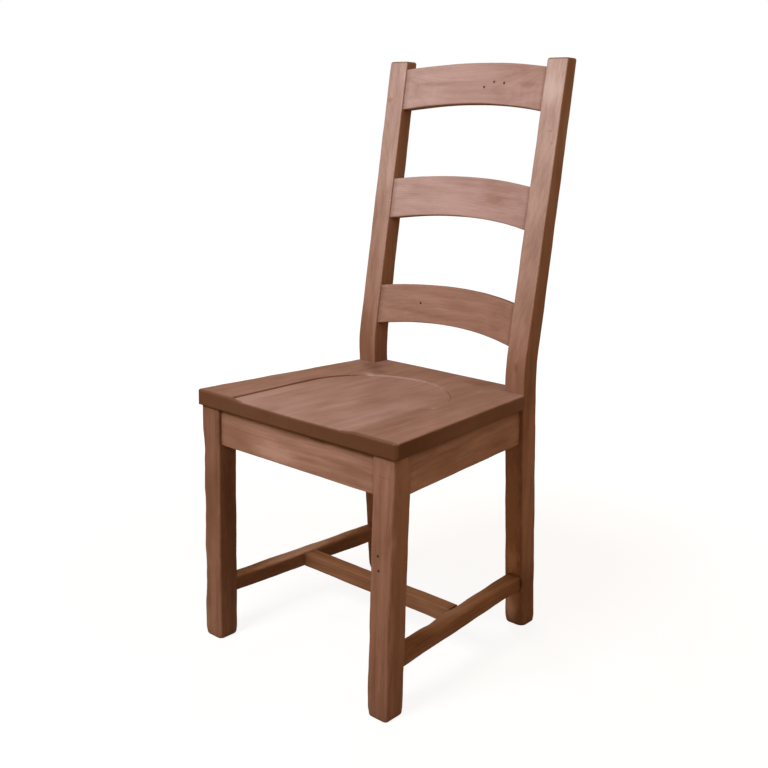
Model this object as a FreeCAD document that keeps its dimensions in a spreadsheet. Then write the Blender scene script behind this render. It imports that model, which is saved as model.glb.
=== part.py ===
import FreeCAD, Part
import math
import os
import Sketcher

# A ladderback dining chair in solid pine, in millimetres.
# Two square front legs and two posts that lean back above the seat carry four aprons, an H of three
# stretchers and three bowed slats. Four boards glued edge to edge make the seat, which has a shallow
# U-shaped scoop open at its front. Corner blocks and screws tie the seat and the frame together.
# +X is to the right of someone who faces the chair's front, +Y runs to its back and +Z is up.
# The pieces are drawn with y = 0 at the front of the front legs. The last step moves them all along Y,
# so that the origin lies on the floor under the middle of the chair.

SIZES = {
    # Overall
    "seat_height": 470,
    "back_height": 1049,
    "front_width": 446,
    "back_width": 395,
    # Front legs
    "leg_width": 44,
    "leg_depth": 41,
    "leg_round": 5,
    "leg_foot_round": 6.5,
    # Rear posts: the bend is where the two straight runs of the front face would meet
    "post_width": 41,
    "post_depth": 42,
    "post_top_depth": 31,
    "post_setback": 380,
    "bend_height": 509,
    "bend_radius": 300,
    "foot_splay": 50,
    "top_rake": 77,
    "post_round": 3,
    "post_foot_round": 9,
    "post_top_round": 4,
    # Aprons
    "apron_height": 68,
    "apron_thickness": 22,
    "front_apron_recess": 6.5,
    "side_apron_front_recess": 6,
    "side_apron_rear_recess": 8.5,
    "rear_apron_recess": 5,
    "apron_round": 2,
    # Stretchers
    "stretcher_lift": 79.5,
    "stretcher_height": 28.5,
    "side_stretcher_thickness": 28,
    "side_stretcher_recess": 5.5,
    "cross_stretcher_thickness": 28.5,
    "cross_stretcher_setback": 214.5,
    "stretcher_round": 3,
    # Slats: heights are along the post. The other two sizes place the lower ends of two slats, and the
    # third slat stands halfway
    "lower_slat_above_seat": 80.5,
    "top_slat_below_top": 89,
    "top_slat_height": 76,
    "middle_slat_height": 76,
    "lower_slat_height": 76,
    "slat_thickness": 20,
    "slat_recess": 3.8,
    "slat_bow": 20.9,
    "slat_top_crown": 13.8,
    "slat_bottom_crown": 15.9,
    "slat_round": 2.5,
    # Seat
    "seat_thickness": 28,
    "seat_front_overhang": 6,
    "seat_side_overhang": 7.5,
    "seat_post_overhang": 2,
    "seat_back_overhang": 2,
    "seat_corner_round": 9,
    "seat_edge_round": 4,
    "seat_under_round": 3,
    "seat_inner_board_width": 115,
    "scoop_width": 286,
    "scoop_length": 341,
    "scoop_depth": 3,
    # Tenons and what they leave free in their mortises
    "tenon_thickness": 10,
    "tenon_shoulder": 8,
    "front_tenon_length": 25,
    "rear_tenon_length": 25,
    "stretcher_tenon_length": 20,
    "cross_tenon_length": 14,
    "slat_tenon_length": 22,
    "tenon_spacing": 2,
    "tenon_fit": 0.2,
    "mortise_spare": 1,
    "notch_fit": 0.3,
    # Corner blocks and their screws
    "block_height": 38,
    "block_width": 30,
    "block_spacing": 2,
    "block_screw_length": 36,
    "block_screw_inset": 20,
    "seat_screw_length": 50,
    "screw_diameter": 4.5,
    "screw_head_diameter": 9,
    "screw_head_top_diameter": 5.4,
    "screw_head_depth": 3,
    "screw_point": 5,
    "screw_fit": 0.1,
    # Where the pieces stand along Y, worked out at the end
    "whole_chair_shift": 0,
}


# A size, known as a number and as the sheet's formula for it, so that each formula is written once

class Size:
    def __init__(self, value, formula):
        self.value = value
        self.formula = formula

    def __add__(self, other):
        other = as_size(other)
        return Size(self.value + other.value, "(%s + %s)" % (self.formula, other.formula))

    def __sub__(self, other):
        other = as_size(other)
        return Size(self.value - other.value, "(%s - %s)" % (self.formula, other.formula))

    def __mul__(self, other):
        other = as_size(other)
        return Size(self.value * other.value, "(%s * %s)" % (self.formula, other.formula))

    def __truediv__(self, other):
        other = as_size(other)
        return Size(self.value / other.value, "(%s / %s)" % (self.formula, other.formula))

    def __neg__(self):
        return as_size(0) - self


def as_size(amount):
    return amount if isinstance(amount, Size) else Size(amount, "(%r)" % amount)


def square_root(amount):
    return Size(math.sqrt(amount.value), "sqrt(%s)" % amount.formula)


def angle_of(rise, run):
    degrees = math.degrees(math.atan2(rise.value, run.value))
    return Size(degrees, "atan2(%s; %s)" % (rise.formula, run.formula))


def size(name):
    return Size(SIZES[name], "sizes.%s" % name)


# The document and its sheet of driving sizes

doc = FreeCAD.newDocument("ladderback_chair")
sheet = doc.addObject("Spreadsheet::Sheet", "sizes")
for row, (alias, amount) in enumerate(SIZES.items(), 1):
    sheet.set("A%d" % row, alias)
    sheet.set("B%d" % row, str(amount))
    sheet.setAlias("B%d" % row, alias)
doc.recompute()
SHIFT_CELL = "B%d" % len(SIZES)
SHIFT = size("whole_chair_shift")
NOTHING = as_size(0)
# How far a cutting outline runs past the surface that it cuts
PAST = as_size(2)
# How far a tenon's solid starts inside its rail, so that the two are one piece
ROOTED = as_size(4)
# Two places nearer than this are the same, and an edge that spans less than a flat one is level that way
SAME_PLACE = 0.01
FLAT_SPAN = 1
# An edge that spans more than this is one of a rail's long edges
LONG_SPAN = 100
X_AXIS, Y_AXIS = 0, 1
LEFT, RIGHT = -1, 1
SIDE_NAMES = {LEFT: "left", RIGHT: "right"}
FRONT, REAR = 1, -1
CORNER_NAMES = {FRONT: "front", REAR: "rear"}


# Sketches and features

def new_body(label):
    body = doc.addObject("PartDesign::Body", label)
    body.Label = label
    body.setExpression("Placement.Base.y", SHIFT.formula)
    return body


def new_sketch(body, name, role, level):
    sketch = body.newObject("Sketcher::SketchObject", name)
    plane = next(item for item in body.Origin.OriginFeatures if item.Role == role)
    sketch.AttachmentSupport = [(plane, "")]
    sketch.MapMode = "FlatFace"
    sketch.setExpression("AttachmentOffset.Base.z", level.formula)
    return sketch


def vector(point):
    return FreeCAD.Vector(point[0].value, point[1].value, 0)


def set_distance(sketch, kind, element, amount):
    constraint = Sketcher.Constraint(kind, *element, amount.value)
    sketch.setExpression("Constraints[%d]" % sketch.addConstraint(constraint), amount.formula)


def add_arc(sketch, start, end, rise):
    # An arc over a level chord, whose middle stands above the chord by rise
    half = (end[0] - start[0]) / 2
    drop = (half * half - rise * rise) / (rise * 2)
    centre_y = start[1] - drop
    centre = FreeCAD.Vector((start[0].value + end[0].value) / 2, centre_y.value, 0)
    leftwards = start[0].value > end[0].value
    first, last = (start, end) if leftwards else (end, start)
    first_ray, last_ray = vector(first) - centre, vector(last) - centre
    circle = Part.Circle(centre, FreeCAD.Vector(0, 0, 1), first_ray.Length)
    first_angle = math.atan2(first_ray.y, first_ray.x)
    last_angle = math.atan2(last_ray.y, last_ray.x)
    number = sketch.addGeometry(Part.ArcOfCircle(circle, first_angle, last_angle), False)
    set_distance(sketch, "DistanceY", (-1, 1, number, 3), centre_y)
    return (number, 1, 2) if leftwards else (number, 2, 1)


def closed_outline(sketch, corners, rises=None):
    # Straight edges from corner to corner, or an arc of the given rise after a corner that rises names
    edges = []
    for index, corner in enumerate(corners):
        following = corners[(index + 1) % len(corners)]
        if rises and index in rises:
            edges.append(add_arc(sketch, corner, following, rises[index]))
        else:
            line = Part.LineSegment(vector(corner), vector(following))
            edges.append((sketch.addGeometry(line, False), 1, 2))
    for index, corner in enumerate(corners):
        number, start, end = edges[index]
        before, before_start, before_end = edges[index - 1]
        sketch.addConstraint(Sketcher.Constraint("Coincident", before, before_end, number, start))
        set_distance(sketch, "DistanceX", (-1, 1, number, start), corner[0])
        set_distance(sketch, "DistanceY", (-1, 1, number, start), corner[1])
    return sketch


def rectangle(low, high):
    return [(low[0], low[1]), (high[0], low[1]), (high[0], high[1]), (low[0], high[1])]


def pad(body, name, sketch, length):
    # Adds material along the sketch's normal
    before = body.Shape.Volume if body.Tip else 0
    feature = body.newObject("PartDesign::Pad", name)
    feature.Profile = sketch
    feature.setExpression("Length", length.formula)
    doc.recompute()
    if body.Shape.Volume <= before:
        raise RuntimeError("%s of %s adds nothing" % (name, body.Label))


def pocket(body, name, sketch, length, along_normal=True):
    # Cuts material away along the sketch's normal, or against it
    before = body.Shape.Volume
    feature = body.newObject("PartDesign::Pocket", name)
    feature.Profile = sketch
    feature.Reversed = along_normal
    feature.setExpression("Length", length.formula)
    doc.recompute()
    if body.Shape.Volume >= before:
        raise RuntimeError("%s of %s cuts nothing" % (name, body.Label))


def round_edges(body, name, radius, chosen):
    before = body.Tip
    names = ["Edge%d" % number for number, edge in enumerate(before.Shape.Edges, 1) if chosen(edge)]
    if not names:
        raise RuntimeError("%s of %s finds no edge" % (name, body.Label))
    feature = body.newObject("PartDesign::Fillet", name)
    feature.Base = (before, names)
    feature.setExpression("Radius", radius.formula)
    doc.recompute()


def near(first, second):
    return abs(first - second) < SAME_PLACE


def level_edge(edge, height):
    return near(edge.BoundBox.ZMin, height.value) and near(edge.BoundBox.ZMax, height.value)


def rises(edge):
    return edge.BoundBox.ZLength > FLAT_SPAN


def spans_width(edge):
    return edge.BoundBox.XLength > LONG_SPAN


def spans_depth(edge):
    return edge.BoundBox.YLength > LONG_SPAN


# Places that several pieces share

seat_top = size("seat_height")
seat_bottom = seat_top - size("seat_thickness")
apron_bottom = seat_bottom - size("apron_height")
stretcher_bottom = size("stretcher_lift")
stretcher_top = stretcher_bottom + size("stretcher_height")
leg_outer = size("front_width") / 2
leg_inner = leg_outer - size("leg_width")
post_outer = size("back_width") / 2
post_inner = post_outer - size("post_width")
leg_back = size("leg_depth")
half_tenon = size("tenon_thickness") / 2
tenon_fit = size("tenon_fit")


def post_face(height):
    # The y of a post's front face at a height below the bend
    below_bend = (size("bend_height") - height) / size("bend_height")
    return size("post_setback") + size("foot_splay") * below_bend


upper_rise = size("back_height") - size("bend_height")
upper_length = square_root(size("top_rake") * size("top_rake") + upper_rise * upper_rise)


def on_upper_post(lift, along, behind):
    # The side-view point that lies along the leaning post from lift, and behind its front face
    lean_y = size("top_rake") / upper_length
    lean_z = upper_rise / upper_length
    start_y = size("post_setback") + size("top_rake") * (lift - size("bend_height")) / upper_rise
    return (start_y + lean_y * along + lean_z * behind, lift + lean_z * along - lean_y * behind)


# Tenons and mortises share one plan rectangle and one pair of heights: the mortise is the same prism made
# larger by the fit, with some spare depth at its end

class Joint:
    def __init__(self, low, high, bottom, top):
        self.low = low
        self.high = high
        self.bottom = bottom
        self.top = top

    def tenon(self, body, name, axis, towards):
        # Runs from a little inside the rail, at the shoulder's side, to the tip
        low, high = list(self.low), list(self.high)
        if towards > 0:
            low[axis] = low[axis] - ROOTED
        else:
            high[axis] = high[axis] + ROOTED
        sketch = new_sketch(body, name + "_outline", "XY_Plane", self.bottom)
        closed_outline(sketch, rectangle(low, high))
        pad(body, name, sketch, self.top - self.bottom)

    def mortise(self, body, name, axis, towards):
        fit, spare = tenon_fit, size("mortise_spare")
        low = [self.low[0] - fit, self.low[1] - fit]
        high = [self.high[0] + fit, self.high[1] + fit]
        if towards > 0:
            low[axis] = self.low[axis] - PAST
            high[axis] = self.high[axis] + spare
        else:
            low[axis] = self.low[axis] - spare
            high[axis] = self.high[axis] + PAST
        sketch = new_sketch(body, name + "_outline", "XY_Plane", self.bottom - fit)
        closed_outline(sketch, rectangle(low, high))
        pocket(body, name, sketch, self.top - self.bottom + fit * 2)


def across(side, near_x, far_x, centre_y, bottom, top):
    # A joint whose tenon runs outwards along X on one side of the chair
    ends = [near_x * side, far_x * side]
    low_x, high_x = (ends[0], ends[1]) if side > 0 else (ends[1], ends[0])
    return Joint((low_x, centre_y - half_tenon), (high_x, centre_y + half_tenon), bottom, top)


def lengthwise(side, centre_x, near_y, far_y, bottom, top):
    # A joint whose tenon runs along Y
    centre = centre_x * side
    return Joint((centre - half_tenon, near_y), (centre + half_tenon, far_y), bottom, top)


apron_tenon_bottom = apron_bottom + size("tenon_shoulder")
apron_tenon_top = seat_bottom - size("tenon_shoulder")
stretcher_tenon_bottom = stretcher_bottom + size("tenon_shoulder")
stretcher_tenon_top = stretcher_top - size("tenon_shoulder")

front_apron_face = size("front_apron_recess")
front_apron_back = front_apron_face + size("apron_thickness")
front_apron_centre = front_apron_face + size("apron_thickness") / 2
rear_apron_back = post_face(seat_bottom) + size("post_depth") - size("rear_apron_recess")
rear_apron_face = rear_apron_back - size("apron_thickness")
rear_apron_centre = rear_apron_back - size("apron_thickness") / 2


class SideRail:
    # The plan of a side apron or side stretcher: its outer face runs from the front leg to the rear post
    def __init__(self, front_recess, rear_recess, thickness, bottom, top):
        self.bottom = bottom
        self.top = top
        self.thickness = thickness
        self.front_outer = leg_outer - front_recess
        self.rear_outer = post_outer - rear_recess
        self.rear_y = post_face(bottom)
        self.front_centre = self.front_outer - thickness / 2
        self.rear_centre = self.rear_outer - thickness / 2

    def inner_at(self, place_y):
        travelled = (place_y - leg_back) / (self.rear_y - leg_back)
        outer = self.front_outer + (self.rear_outer - self.front_outer) * travelled
        return outer - self.thickness


side_apron = SideRail(
    size("side_apron_front_recess"), size("side_apron_rear_recess"), size("apron_thickness"),
    apron_bottom, seat_bottom)
side_stretcher = SideRail(
    size("side_stretcher_recess"), size("side_stretcher_recess"), size("side_stretcher_thickness"),
    stretcher_bottom, stretcher_top)
cross_front = size("cross_stretcher_setback")
cross_back = cross_front + size("cross_stretcher_thickness")
cross_centre = (cross_front + cross_back) / 2


def front_apron_joint(side):
    tip = leg_inner + size("front_tenon_length")
    return across(side, leg_inner, tip, front_apron_centre, apron_tenon_bottom, apron_tenon_top)


def rear_apron_joint(side):
    tip = post_inner + size("rear_tenon_length")
    return across(side, post_inner, tip, rear_apron_centre, apron_tenon_bottom, apron_tenon_top)


def side_apron_front_joint(side):
    # Stops short of the front apron's tenon, which crosses its path inside the leg
    tip = front_apron_centre + half_tenon + size("tenon_spacing")
    return lengthwise(side, side_apron.front_centre, tip, leg_back, apron_tenon_bottom, apron_tenon_top)


def side_apron_rear_joint(side):
    # Stops short of the rear apron's tenon. It starts at the post's face where that is furthest forward
    tip = rear_apron_centre - half_tenon - size("tenon_spacing")
    start = post_face(apron_tenon_top)
    return lengthwise(side, side_apron.rear_centre, start, tip, apron_tenon_bottom, apron_tenon_top)


def stretcher_front_joint(side):
    tip = leg_back - size("stretcher_tenon_length")
    return lengthwise(
        side, side_stretcher.front_centre, tip, leg_back, stretcher_tenon_bottom, stretcher_tenon_top)


def stretcher_rear_joint(side):
    start = post_face(stretcher_tenon_top)
    tip = start + size("stretcher_tenon_length")
    return lengthwise(
        side, side_stretcher.rear_centre, start, tip, stretcher_tenon_bottom, stretcher_tenon_top)


def cross_stretcher_joint(side):
    start = side_stretcher.inner_at(cross_back)
    tip = start + size("cross_tenon_length")
    return across(side, start, tip, cross_centre, stretcher_tenon_bottom, stretcher_tenon_top)


# Each slat's lift, which is where its lower end meets the post's front face, and its height along the post
lower_slat_lift = seat_top + size("lower_slat_above_seat")
top_slat_lift = size("back_height") - size("top_slat_below_top")
SLATS = {
    "lower_slat": (lower_slat_lift, size("lower_slat_height")),
    "middle_slat": ((lower_slat_lift + top_slat_lift) / 2, size("middle_slat_height")),
    "top_slat": (top_slat_lift, size("top_slat_height")),
}
slat_tenon_front = size("slat_recess") + size("slat_thickness") / 2 - half_tenon
slat_tenon_back = slat_tenon_front + size("tenon_thickness")


# Front legs: square, with worn edges and rounded feet

def front_leg(side):
    body = new_body(SIDE_NAMES[side] + "_front_leg")
    ends = [leg_inner * side, leg_outer * side]
    low_x, high_x = (ends[0], ends[1]) if side > 0 else (ends[1], ends[0])
    plan = new_sketch(body, "plan", "XY_Plane", NOTHING)
    closed_outline(plan, rectangle((low_x, NOTHING), (high_x, leg_back)))
    pad(body, "blank", plan, seat_bottom)
    round_edges(body, "foot", size("leg_foot_round"), lambda edge: level_edge(edge, NOTHING))
    round_edges(body, "worn_edges", size("leg_round"), rises)
    front_apron_joint(side).mortise(body, "front_apron_mortise", X_AXIS, side)
    side_apron_front_joint(side).mortise(body, "side_apron_mortise", Y_AXIS, -1)
    stretcher_front_joint(side).mortise(body, "stretcher_mortise", Y_AXIS, -1)
    return body


# Rear posts: one side-view outline, bent above the seat and tapering upwards

def rear_post(side):
    body = new_body(SIDE_NAMES[side] + "_rear_post")
    setback, depth = size("post_setback"), size("post_depth")
    foot_y = setback + size("foot_splay")
    top_y = setback + size("top_rake")
    bend, top = size("bend_height"), size("back_height")
    low_x = post_inner if side > 0 else -post_outer
    profile = new_sketch(body, "side_view", "YZ_Plane", low_x)
    closed_outline(profile, [
        (foot_y, NOTHING),
        (foot_y + depth, NOTHING),
        (setback + depth, bend),
        (top_y + size("post_top_depth"), top),
        (top_y, top),
        (setback, bend),
    ])
    pad(body, "blank", profile, size("post_width"))
    round_edges(body, "bend", size("bend_radius"), lambda edge: level_edge(edge, bend))
    round_edges(body, "foot", size("post_foot_round"), lambda edge: level_edge(edge, NOTHING))
    round_edges(body, "top_end", size("post_top_round"), lambda edge: level_edge(edge, top))
    round_edges(body, "long_edges", size("post_round"), lambda edge:
                rises(edge) and edge.BoundBox.ZMax > size("post_foot_round").value)
    rear_apron_joint(side).mortise(body, "rear_apron_mortise", X_AXIS, side)
    side_apron_rear_joint(side).mortise(body, "side_apron_mortise", Y_AXIS, 1)
    stretcher_rear_joint(side).mortise(body, "stretcher_mortise", Y_AXIS, 1)
    for name, (lift, height) in SLATS.items():
        slat_mortise(body, side, name, lift, height)
    return body


def slat_mortise(body, side, name, lift, height):
    # A slot that leans with the post, cut outwards from its inner face
    low = size("tenon_shoulder") - tenon_fit
    high = height - size("tenon_shoulder") + tenon_fit
    front = slat_tenon_front - tenon_fit
    back = slat_tenon_back + tenon_fit
    depth = size("slat_tenon_length") + size("mortise_spare")
    level = post_inner - PAST if side > 0 else -(post_inner + depth)
    sketch = new_sketch(body, name + "_mortise_outline", "YZ_Plane", level)
    closed_outline(sketch, [
        on_upper_post(lift, low, front), on_upper_post(lift, low, back),
        on_upper_post(lift, high, back), on_upper_post(lift, high, front)])
    pocket(body, name + "_mortise", sketch, depth + PAST)


# Front and rear aprons: straight boards between the legs or the posts

def plain_apron(label, half_length, face, back, joint):
    body = new_body(label)
    plan = new_sketch(body, "plan", "XY_Plane", apron_bottom)
    closed_outline(plan, rectangle((-half_length, face), (half_length, back)))
    pad(body, "blank", plan, size("apron_height"))
    round_edges(body, "lower_edges", size("apron_round"), lambda edge:
                level_edge(edge, apron_bottom) and spans_width(edge))
    for side in (LEFT, RIGHT):
        joint(side).tenon(body, SIDE_NAMES[side] + "_tenon", X_AXIS, side)
    return body


# Side aprons and side stretchers: they follow the seat's taper, and their rear shoulders follow the post

def side_rail(label, side, rail, radius, chosen, front_joint, rear_joint):
    body = new_body(label)
    plan = new_sketch(body, "plan", "XY_Plane", rail.bottom)
    closed_outline(plan, [
        (rail.front_outer * side, leg_back),
        (rail.rear_outer * side, rail.rear_y),
        ((rail.rear_outer - rail.thickness) * side, rail.rear_y),
        ((rail.front_outer - rail.thickness) * side, leg_back),
    ])
    pad(body, "blank", plan, rail.top - rail.bottom)
    shoulder = new_sketch(body, "rear_shoulder_outline", "YZ_Plane", -leg_outer)
    above = rail.top + PAST
    closed_outline(shoulder, [
        (rail.rear_y, rail.bottom), (rail.rear_y + PAST, rail.bottom),
        (rail.rear_y + PAST, above), (post_face(above), above)])
    pocket(body, "rear_shoulder", shoulder, leg_outer * 2)
    round_edges(body, "long_edges", radius, chosen)
    front_joint(side).tenon(body, "front_tenon", Y_AXIS, -1)
    rear_joint(side).tenon(body, "rear_tenon", Y_AXIS, 1)
    return body


def side_apron_body(side):
    return side_rail(
        SIDE_NAMES[side] + "_side_apron", side, side_apron, size("apron_round"),
        lambda edge: level_edge(edge, apron_bottom) and spans_depth(edge),
        side_apron_front_joint, side_apron_rear_joint)


def side_stretcher_body(side):
    body = side_rail(
        SIDE_NAMES[side] + "_side_stretcher", side, side_stretcher, size("stretcher_round"), spans_depth,
        stretcher_front_joint, stretcher_rear_joint)
    cross_stretcher_joint(side).mortise(body, "cross_stretcher_mortise", X_AXIS, side)
    return body


# Cross stretcher: its shoulders meet the slanting inner faces of the side stretchers

def cross_stretcher_body():
    body = new_body("cross_stretcher")
    front_end = side_stretcher.inner_at(cross_front)
    back_end = side_stretcher.inner_at(cross_back)
    plan = new_sketch(body, "plan", "XY_Plane", stretcher_bottom)
    closed_outline(plan, [
        (-front_end, cross_front), (front_end, cross_front), (back_end, cross_back), (-back_end, cross_back)])
    pad(body, "blank", plan, size("stretcher_height"))
    round_edges(body, "long_edges", size("stretcher_round"), spans_width)
    for side in (LEFT, RIGHT):
        cross_stretcher_joint(side).tenon(body, SIDE_NAMES[side] + "_tenon", X_AXIS, side)
    return body


# Slats: bowed backwards in plan and crowned in front view, in a frame that leans with the posts

def slat(label, lift, height):
    body = new_body(label)
    start_y, start_z = on_upper_post(lift, NOTHING, NOTHING)
    body.setExpression("Placement.Base.y", (SHIFT + start_y).formula)
    body.setExpression("Placement.Base.z", start_z.formula)
    body.Placement.Rotation = FreeCAD.Rotation(FreeCAD.Vector(-1, 0, 0), 1)
    body.setExpression("Placement.Rotation.Angle", angle_of(size("top_rake"), upper_rise).formula)
    front = size("slat_recess")
    back = front + size("slat_thickness")
    bow = size("slat_bow")
    plan = new_sketch(body, "plan", "XY_Plane", NOTHING)
    closed_outline(
        plan, [(-post_inner, front), (post_inner, front), (post_inner, back), (-post_inner, back)],
        {0: bow, 2: bow})
    pad(body, "blank", plan, height + size("slat_top_crown"))
    through = back + bow + PAST
    wide = post_inner + PAST
    crown = size("slat_top_crown")
    above = new_sketch(body, "crown_outline", "XZ_Plane", NOTHING)
    closed_outline(
        above, [(-post_inner, height), (post_inner, height), (wide, height), (wide, height + crown + PAST),
                (-wide, height + crown + PAST), (-wide, height)], {0: crown})
    pocket(body, "crown", above, through, along_normal=False)
    arch = size("slat_bottom_crown")
    below = new_sketch(body, "arch_outline", "XZ_Plane", NOTHING)
    closed_outline(below, [(-post_inner, NOTHING), (post_inner, NOTHING)], {0: arch})
    pocket(body, "arch", below, through, along_normal=False)
    round_edges(body, "long_edges", size("slat_round"), spans_width)
    shoulder = size("tenon_shoulder")
    for side in (LEFT, RIGHT):
        root = (post_inner - ROOTED) * side
        tip = (post_inner + size("slat_tenon_length")) * side
        low_x, high_x = (root, tip) if side > 0 else (tip, root)
        name = SIDE_NAMES[side] + "_tenon"
        sketch = new_sketch(body, name + "_outline", "XY_Plane", shoulder)
        closed_outline(sketch, rectangle((low_x, slat_tenon_front), (high_x, slat_tenon_back)))
        pad(body, name, sketch, height - shoulder * 2)
    return body


# Seat: two inner boards and two outer ones. The scoop is one U-shaped outline cut into all of them

seat_front = -size("seat_front_overhang")
seat_back = post_face(seat_top) + size("post_depth") + size("seat_back_overhang")
glue_line = size("seat_inner_board_width")
scoop_half = size("scoop_width") / 2


def seat_side(place_y):
    front_x = leg_outer + size("seat_side_overhang")
    post_x = post_outer + size("seat_post_overhang")
    travelled = (place_y - seat_front) / (post_face(seat_top) - seat_front)
    return front_x + (post_x - front_x) * travelled


def seat_board(label, side, outer):
    body = new_body(label)
    near_x, far_front, far_back = NOTHING, glue_line, glue_line
    if outer:
        near_x, far_front, far_back = glue_line, seat_side(seat_front), seat_side(seat_back)
    plan = new_sketch(body, "plan", "XY_Plane", seat_bottom)
    closed_outline(plan, [
        (near_x * side, seat_front), (far_front * side, seat_front),
        (far_back * side, seat_back), (near_x * side, seat_back)])
    pad(body, "blank", plan, size("seat_thickness"))
    if outer:
        round_edges(body, "front_corner", size("seat_corner_round"), lambda edge:
                    rises(edge) and near(edge.BoundBox.YMin, seat_front.value)
                    and near(abs(edge.BoundBox.XMax), far_front.value))
    round_edges(body, "upper_edges", size("seat_edge_round"), lambda edge:
                level_edge(edge, seat_top) and edge.BoundBox.XLength > FLAT_SPAN)
    round_edges(body, "under_edges", size("seat_under_round"), lambda edge:
                level_edge(edge, seat_bottom) and edge.BoundBox.XLength > FLAT_SPAN)
    scoop = new_sketch(body, "scoop_outline", "XY_Plane", seat_top - size("scoop_depth"))
    scoop_turn = seat_front + size("scoop_length") - scoop_half
    closed_outline(scoop, [
        (-scoop_half, seat_front - PAST), (scoop_half, seat_front - PAST),
        (scoop_half, scoop_turn), (-scoop_half, scoop_turn)], {2: scoop_half})
    pocket(body, "scoop", scoop, size("scoop_depth") + PAST)
    if outer:
        post_notch(body, side)
        for corner in (FRONT, REAR):
            drill_up(body, side, corner, "seat_screw_pilot", seat_bottom, size("seat_screw_length"))
    return body


def post_notch(body, side):
    # The corner where the post passes: its front wall leans as the post's face does
    fit = size("notch_fit")
    side_reach = seat_side(seat_front) + PAST
    level = post_inner - fit if side > 0 else -side_reach
    low, high = seat_bottom - PAST, seat_top + PAST
    sketch = new_sketch(body, "post_notch_outline", "YZ_Plane", level)
    closed_outline(sketch, [
        (post_face(low) - fit, low), (seat_back + PAST, low),
        (seat_back + PAST, high), (post_face(high) - fit, high)])
    pocket(body, "post_notch", sketch, side_reach - post_inner + fit)


# Corner blocks: mitred braces across the four inner corners of the seat frame

block_bottom = seat_bottom - size("block_height")
block_middle = seat_bottom - size("block_height") / 2
DIAGONAL = square_root(as_size(2))
# How far a right-hand block's screws turn about Z from straight back, in degrees
SCREW_TURNS = {FRONT: 45, REAR: 135}


def block_plan(corner):
    # The four corners of a right-hand block: two on the cross apron's face, two on the side apron's face.
    # Its outer face clears the corner of the leg or post by the block spacing
    if corner == FRONT:
        face_y = front_apron_back
        post_x, post_y = leg_inner, leg_back + size("block_spacing")
    else:
        face_y = rear_apron_face
        post_x, post_y = post_inner, post_face(seat_bottom) - size("block_spacing")
    outer_x = post_x - (post_y - face_y) * corner
    inner_x = outer_x - size("block_width") * DIAGONAL
    return [(outer_x, face_y), meet_side_apron(outer_x, face_y, corner),
            meet_side_apron(inner_x, face_y, corner), (inner_x, face_y)]


def meet_side_apron(start_x, start_y, corner):
    # Where a line at 45 degrees from the cross apron's face meets the side apron's inner face
    slope = (side_apron.rear_outer - side_apron.front_outer) / (side_apron.rear_y - leg_back)
    turn = as_size(corner)
    inner_at_zero = side_apron.front_outer - side_apron.thickness - slope * leg_back
    meet_y = (inner_at_zero - start_x + turn * start_y) / (turn - slope)
    return (start_x + turn * (meet_y - start_y), meet_y)


def block_screw_places(corner):
    # The two points on a right-hand block's long face where its screws enter
    outer_near, outer_far, inner_far, inner_near = block_plan(corner)
    step = size("block_screw_inset") / DIAGONAL
    return [(inner_near[0] + step, inner_near[1] + step * corner),
            (inner_far[0] - step, inner_far[1] - step * corner)]


def seat_screw_place(corner):
    # The middle of a right-hand block
    corners = block_plan(corner)
    total_x, total_y = corners[0]
    for x, y in corners[1:]:
        total_x, total_y = total_x + x, total_y + y
    return (total_x / len(corners), total_y / len(corners))


def screw_heading(side, corner):
    # A block screw's direction, and the turn about Z that brings the front view's normal to it
    return FreeCAD.Vector(side, -corner, 0).normalize(), side * SCREW_TURNS[corner]


def draw_hole(sketch, centre):
    radius = size("screw_diameter") / 2 + size("screw_fit")
    circle = Part.Circle(vector(centre), FreeCAD.Vector(0, 0, 1), radius.value)
    number = sketch.addGeometry(circle, False)
    set_distance(sketch, "Radius", (number,), radius)
    set_distance(sketch, "DistanceX", (-1, 1, number, 3), centre[0])
    set_distance(sketch, "DistanceY", (-1, 1, number, 3), centre[1])


def drill_up(body, side, corner, name, level, length):
    place = seat_screw_place(corner)
    name = CORNER_NAMES[corner] + "_" + name
    sketch = new_sketch(body, name + "_outline", "XY_Plane", block_bottom - PAST)
    draw_hole(sketch, (place[0] * side, place[1]))
    pocket(body, name, sketch, length + PAST + size("mortise_spare"))


def drill_diagonally(body, side, corner, which, name):
    # The hole starts at the block's long face and runs as deep as the screw
    place_x, place_y = block_screw_places(corner)[which]
    name = "%s_%s_%d" % (CORNER_NAMES[corner], name, which + 1)
    sketch = new_sketch(body, name + "_outline", "XZ_Plane", -place_y)
    heading, degrees = screw_heading(side, corner)
    sketch.AttachmentOffset = FreeCAD.Placement(
        FreeCAD.Vector(0, 0, 0), FreeCAD.Rotation(FreeCAD.Vector(0, 1, 0), degrees))
    sketch.setExpression("AttachmentOffset.Base.x", (place_x * side).formula)
    sketch.setExpression("AttachmentOffset.Base.y", block_middle.formula)
    draw_hole(sketch, (NOTHING, NOTHING))
    pocket(body, name, sketch, size("block_screw_length") + size("mortise_spare"))


def corner_block(side, corner):
    body = new_body("%s_%s_corner_block" % (SIDE_NAMES[side], CORNER_NAMES[corner]))
    plan = new_sketch(body, "plan", "XY_Plane", block_bottom)
    closed_outline(plan, [(x * side, y) for x, y in block_plan(corner)])
    pad(body, "blank", plan, size("block_height"))
    drill_up(body, side, corner, "seat_screw_hole", block_bottom, size("seat_screw_length"))
    for which in (0, 1):
        drill_diagonally(body, side, corner, which, "block_screw_hole")
    return body


# Screws: one turned shape for each length, and copies of it that point along their holes

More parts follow.
